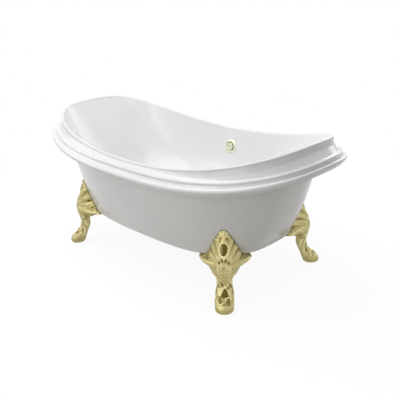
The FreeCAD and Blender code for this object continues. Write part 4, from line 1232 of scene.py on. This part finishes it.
@dataclass
class Studio:
    """Plain white floor, soft lamps and the camera."""

    floor_side: float = 40.0
    floor_bounce: Colour = (0.45, 0.43, 0.4)
    floor_white: Colour = (0.1, 0.1, 0.1)
    floor_glow: float = 0.92
    floor_near: float = 1.3
    floor_far: float = 2.6
    sky: Colour = (1.0, 0.99, 0.97)
    sky_strength: float = 0.37
    azimuth: float = 46.53
    elevation: float = 20.89
    distance: float = 3.4
    target_height: float = 0.35
    roll: float = -2.58
    lens: float = 53.93
    shift: Pair = (0.0351, -0.01545)
    lamps: tuple[Lamp, ...] = (
        Lamp("overhead", (-0.7, -0.4, 3.6), (0.0, 0.0, 0.4), 3.2, 71.0, (0.97, 0.99, 1.0)),
        Lamp("left_window", (-3.6, -2.4, 2.2), (0.0, 0.0, 0.45), 2.4, 26.0),
        Lamp("front_fill", (0.6, -3.8, 1.9), (0.0, 0.0, 0.4), 2.4, 23.0),
        Lamp("back_fill", (0.4, 3.8, 2.2), (0.0, 0.0, 0.4), 2.4, 35.0),
    )

    def seen(self, graph: Graph) -> Wire:
        """Sorts the rays that see the background from those that carry its light.

        Args:
            graph: The graph to add the nodes to.

        Returns:
            1 for camera, glossy and transmission rays, and 0 for the rest.
        """
        path = graph.node("ShaderNodeLightPath", {}, {})
        camera, glossy, passing = (Wire(graph, path.outputs[name]) for name in
                                   ("Is Camera Ray", "Is Glossy Ray", "Is Transmission Ray"))
        return (camera + glossy + passing).between(0.0, 1.0)

    def floor(self) -> None:
        """Makes the floor, which is white to the camera and keeps the shadow."""
        half = self.floor_side / 2
        corners = np.array([(-half, -half, 0), (half, -half, 0), (half, half, 0), (-half, half, 0)])
        plane = new_object("floor", corners, [(0, 1, 2, 3)])
        graph = Graph.of_material("studio_floor")
        bounce = graph.node("ShaderNodeBsdfDiffuse", {}, {"Color": self.floor_bounce})
        white = graph.node("ShaderNodeBsdfDiffuse", {}, {"Color": self.floor_white})
        glow = graph.node("ShaderNodeEmission", {}, {"Strength": self.floor_glow})
        near = graph.node("ShaderNodeAddShader", {}, {0: white.outputs[0], 1: glow.outputs[0]})
        far = graph.node("ShaderNodeEmission", {}, {"Strength": 1.0})
        distance = graph.node("ShaderNodeVectorMath", {"operation": "LENGTH"}, {0: graph.place()})
        away = Wire(graph, distance.outputs["Value"]).between(self.floor_near, self.floor_far)
        shown = graph.node("ShaderNodeMixShader", {}, {0: away, 1: near.outputs[0],
                                                      2: far.outputs[0]})
        mixed = graph.node("ShaderNodeMixShader", {}, {0: self.seen(graph), 1: bounce.outputs[0],
                                                      2: shown.outputs[0]})
        graph.feed(graph.output.inputs["Surface"], mixed.outputs[0])
        plane.data.materials.append(graph.owner)

    def world(self) -> None:
        """Makes the sky, which is white to the camera and a plain level for light."""
        world = bpy.data.worlds.new("studio")
        bpy.context.scene.world = world
        graph = Graph(world)
        seen = self.seen(graph)
        graph.feed(graph.shader.inputs["Color"], graph.mix(seen, self.sky, (1.0, 1.0, 1.0)))
        strength = self.sky_strength + (1 - self.sky_strength) * seen
        graph.feed(graph.shader.inputs["Strength"], strength)

    def camera(self) -> None:
        """Places the camera at the photograph's angle."""
        turn, tip = math.radians(self.azimuth), math.radians(self.elevation)
        flat = math.cos(tip)
        back = Vector((math.sin(turn) * flat, -math.cos(turn) * flat, math.sin(tip)))
        right = Vector((math.cos(turn), math.sin(turn), 0))
        up = back.cross(right)
        level = Matrix((right, up, back)).transposed().to_4x4()
        data = bpy.data.cameras.new("camera")
        data.lens = self.lens
        data.shift_x, data.shift_y = self.shift
        obj = bpy.data.objects.new("camera", data)
        bpy.context.scene.collection.objects.link(obj)
        place = Vector((0, 0, self.target_height)) + self.distance * back
        obj.matrix_world = (Matrix.Translation(place) @ level
                            @ Matrix.Rotation(math.radians(self.roll), 4, "Z"))
        bpy.context.scene.camera = obj

    def build(self) -> None:
        """Builds the floor, sky, lamps and camera."""
        self.floor()
        self.world()
        for lamp in self.lamps:
            lamp.build()
        self.camera()
        bpy.context.scene.view_settings.view_transform = "Standard"
        LOG.info("built the studio")


def main() -> None:
    """Builds the studio and each sub-assembly."""
    logging.basicConfig(level=logging.INFO, format="%(message)s")
    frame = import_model()
    wardrobe = Wardrobe(frame["record"])
    Studio().build()
    for assembly in (Shells, Underside, Overflow, Waste, ClawFeet):
        assembly(frame, wardrobe).build()


if __name__ == "__main__":
    main()
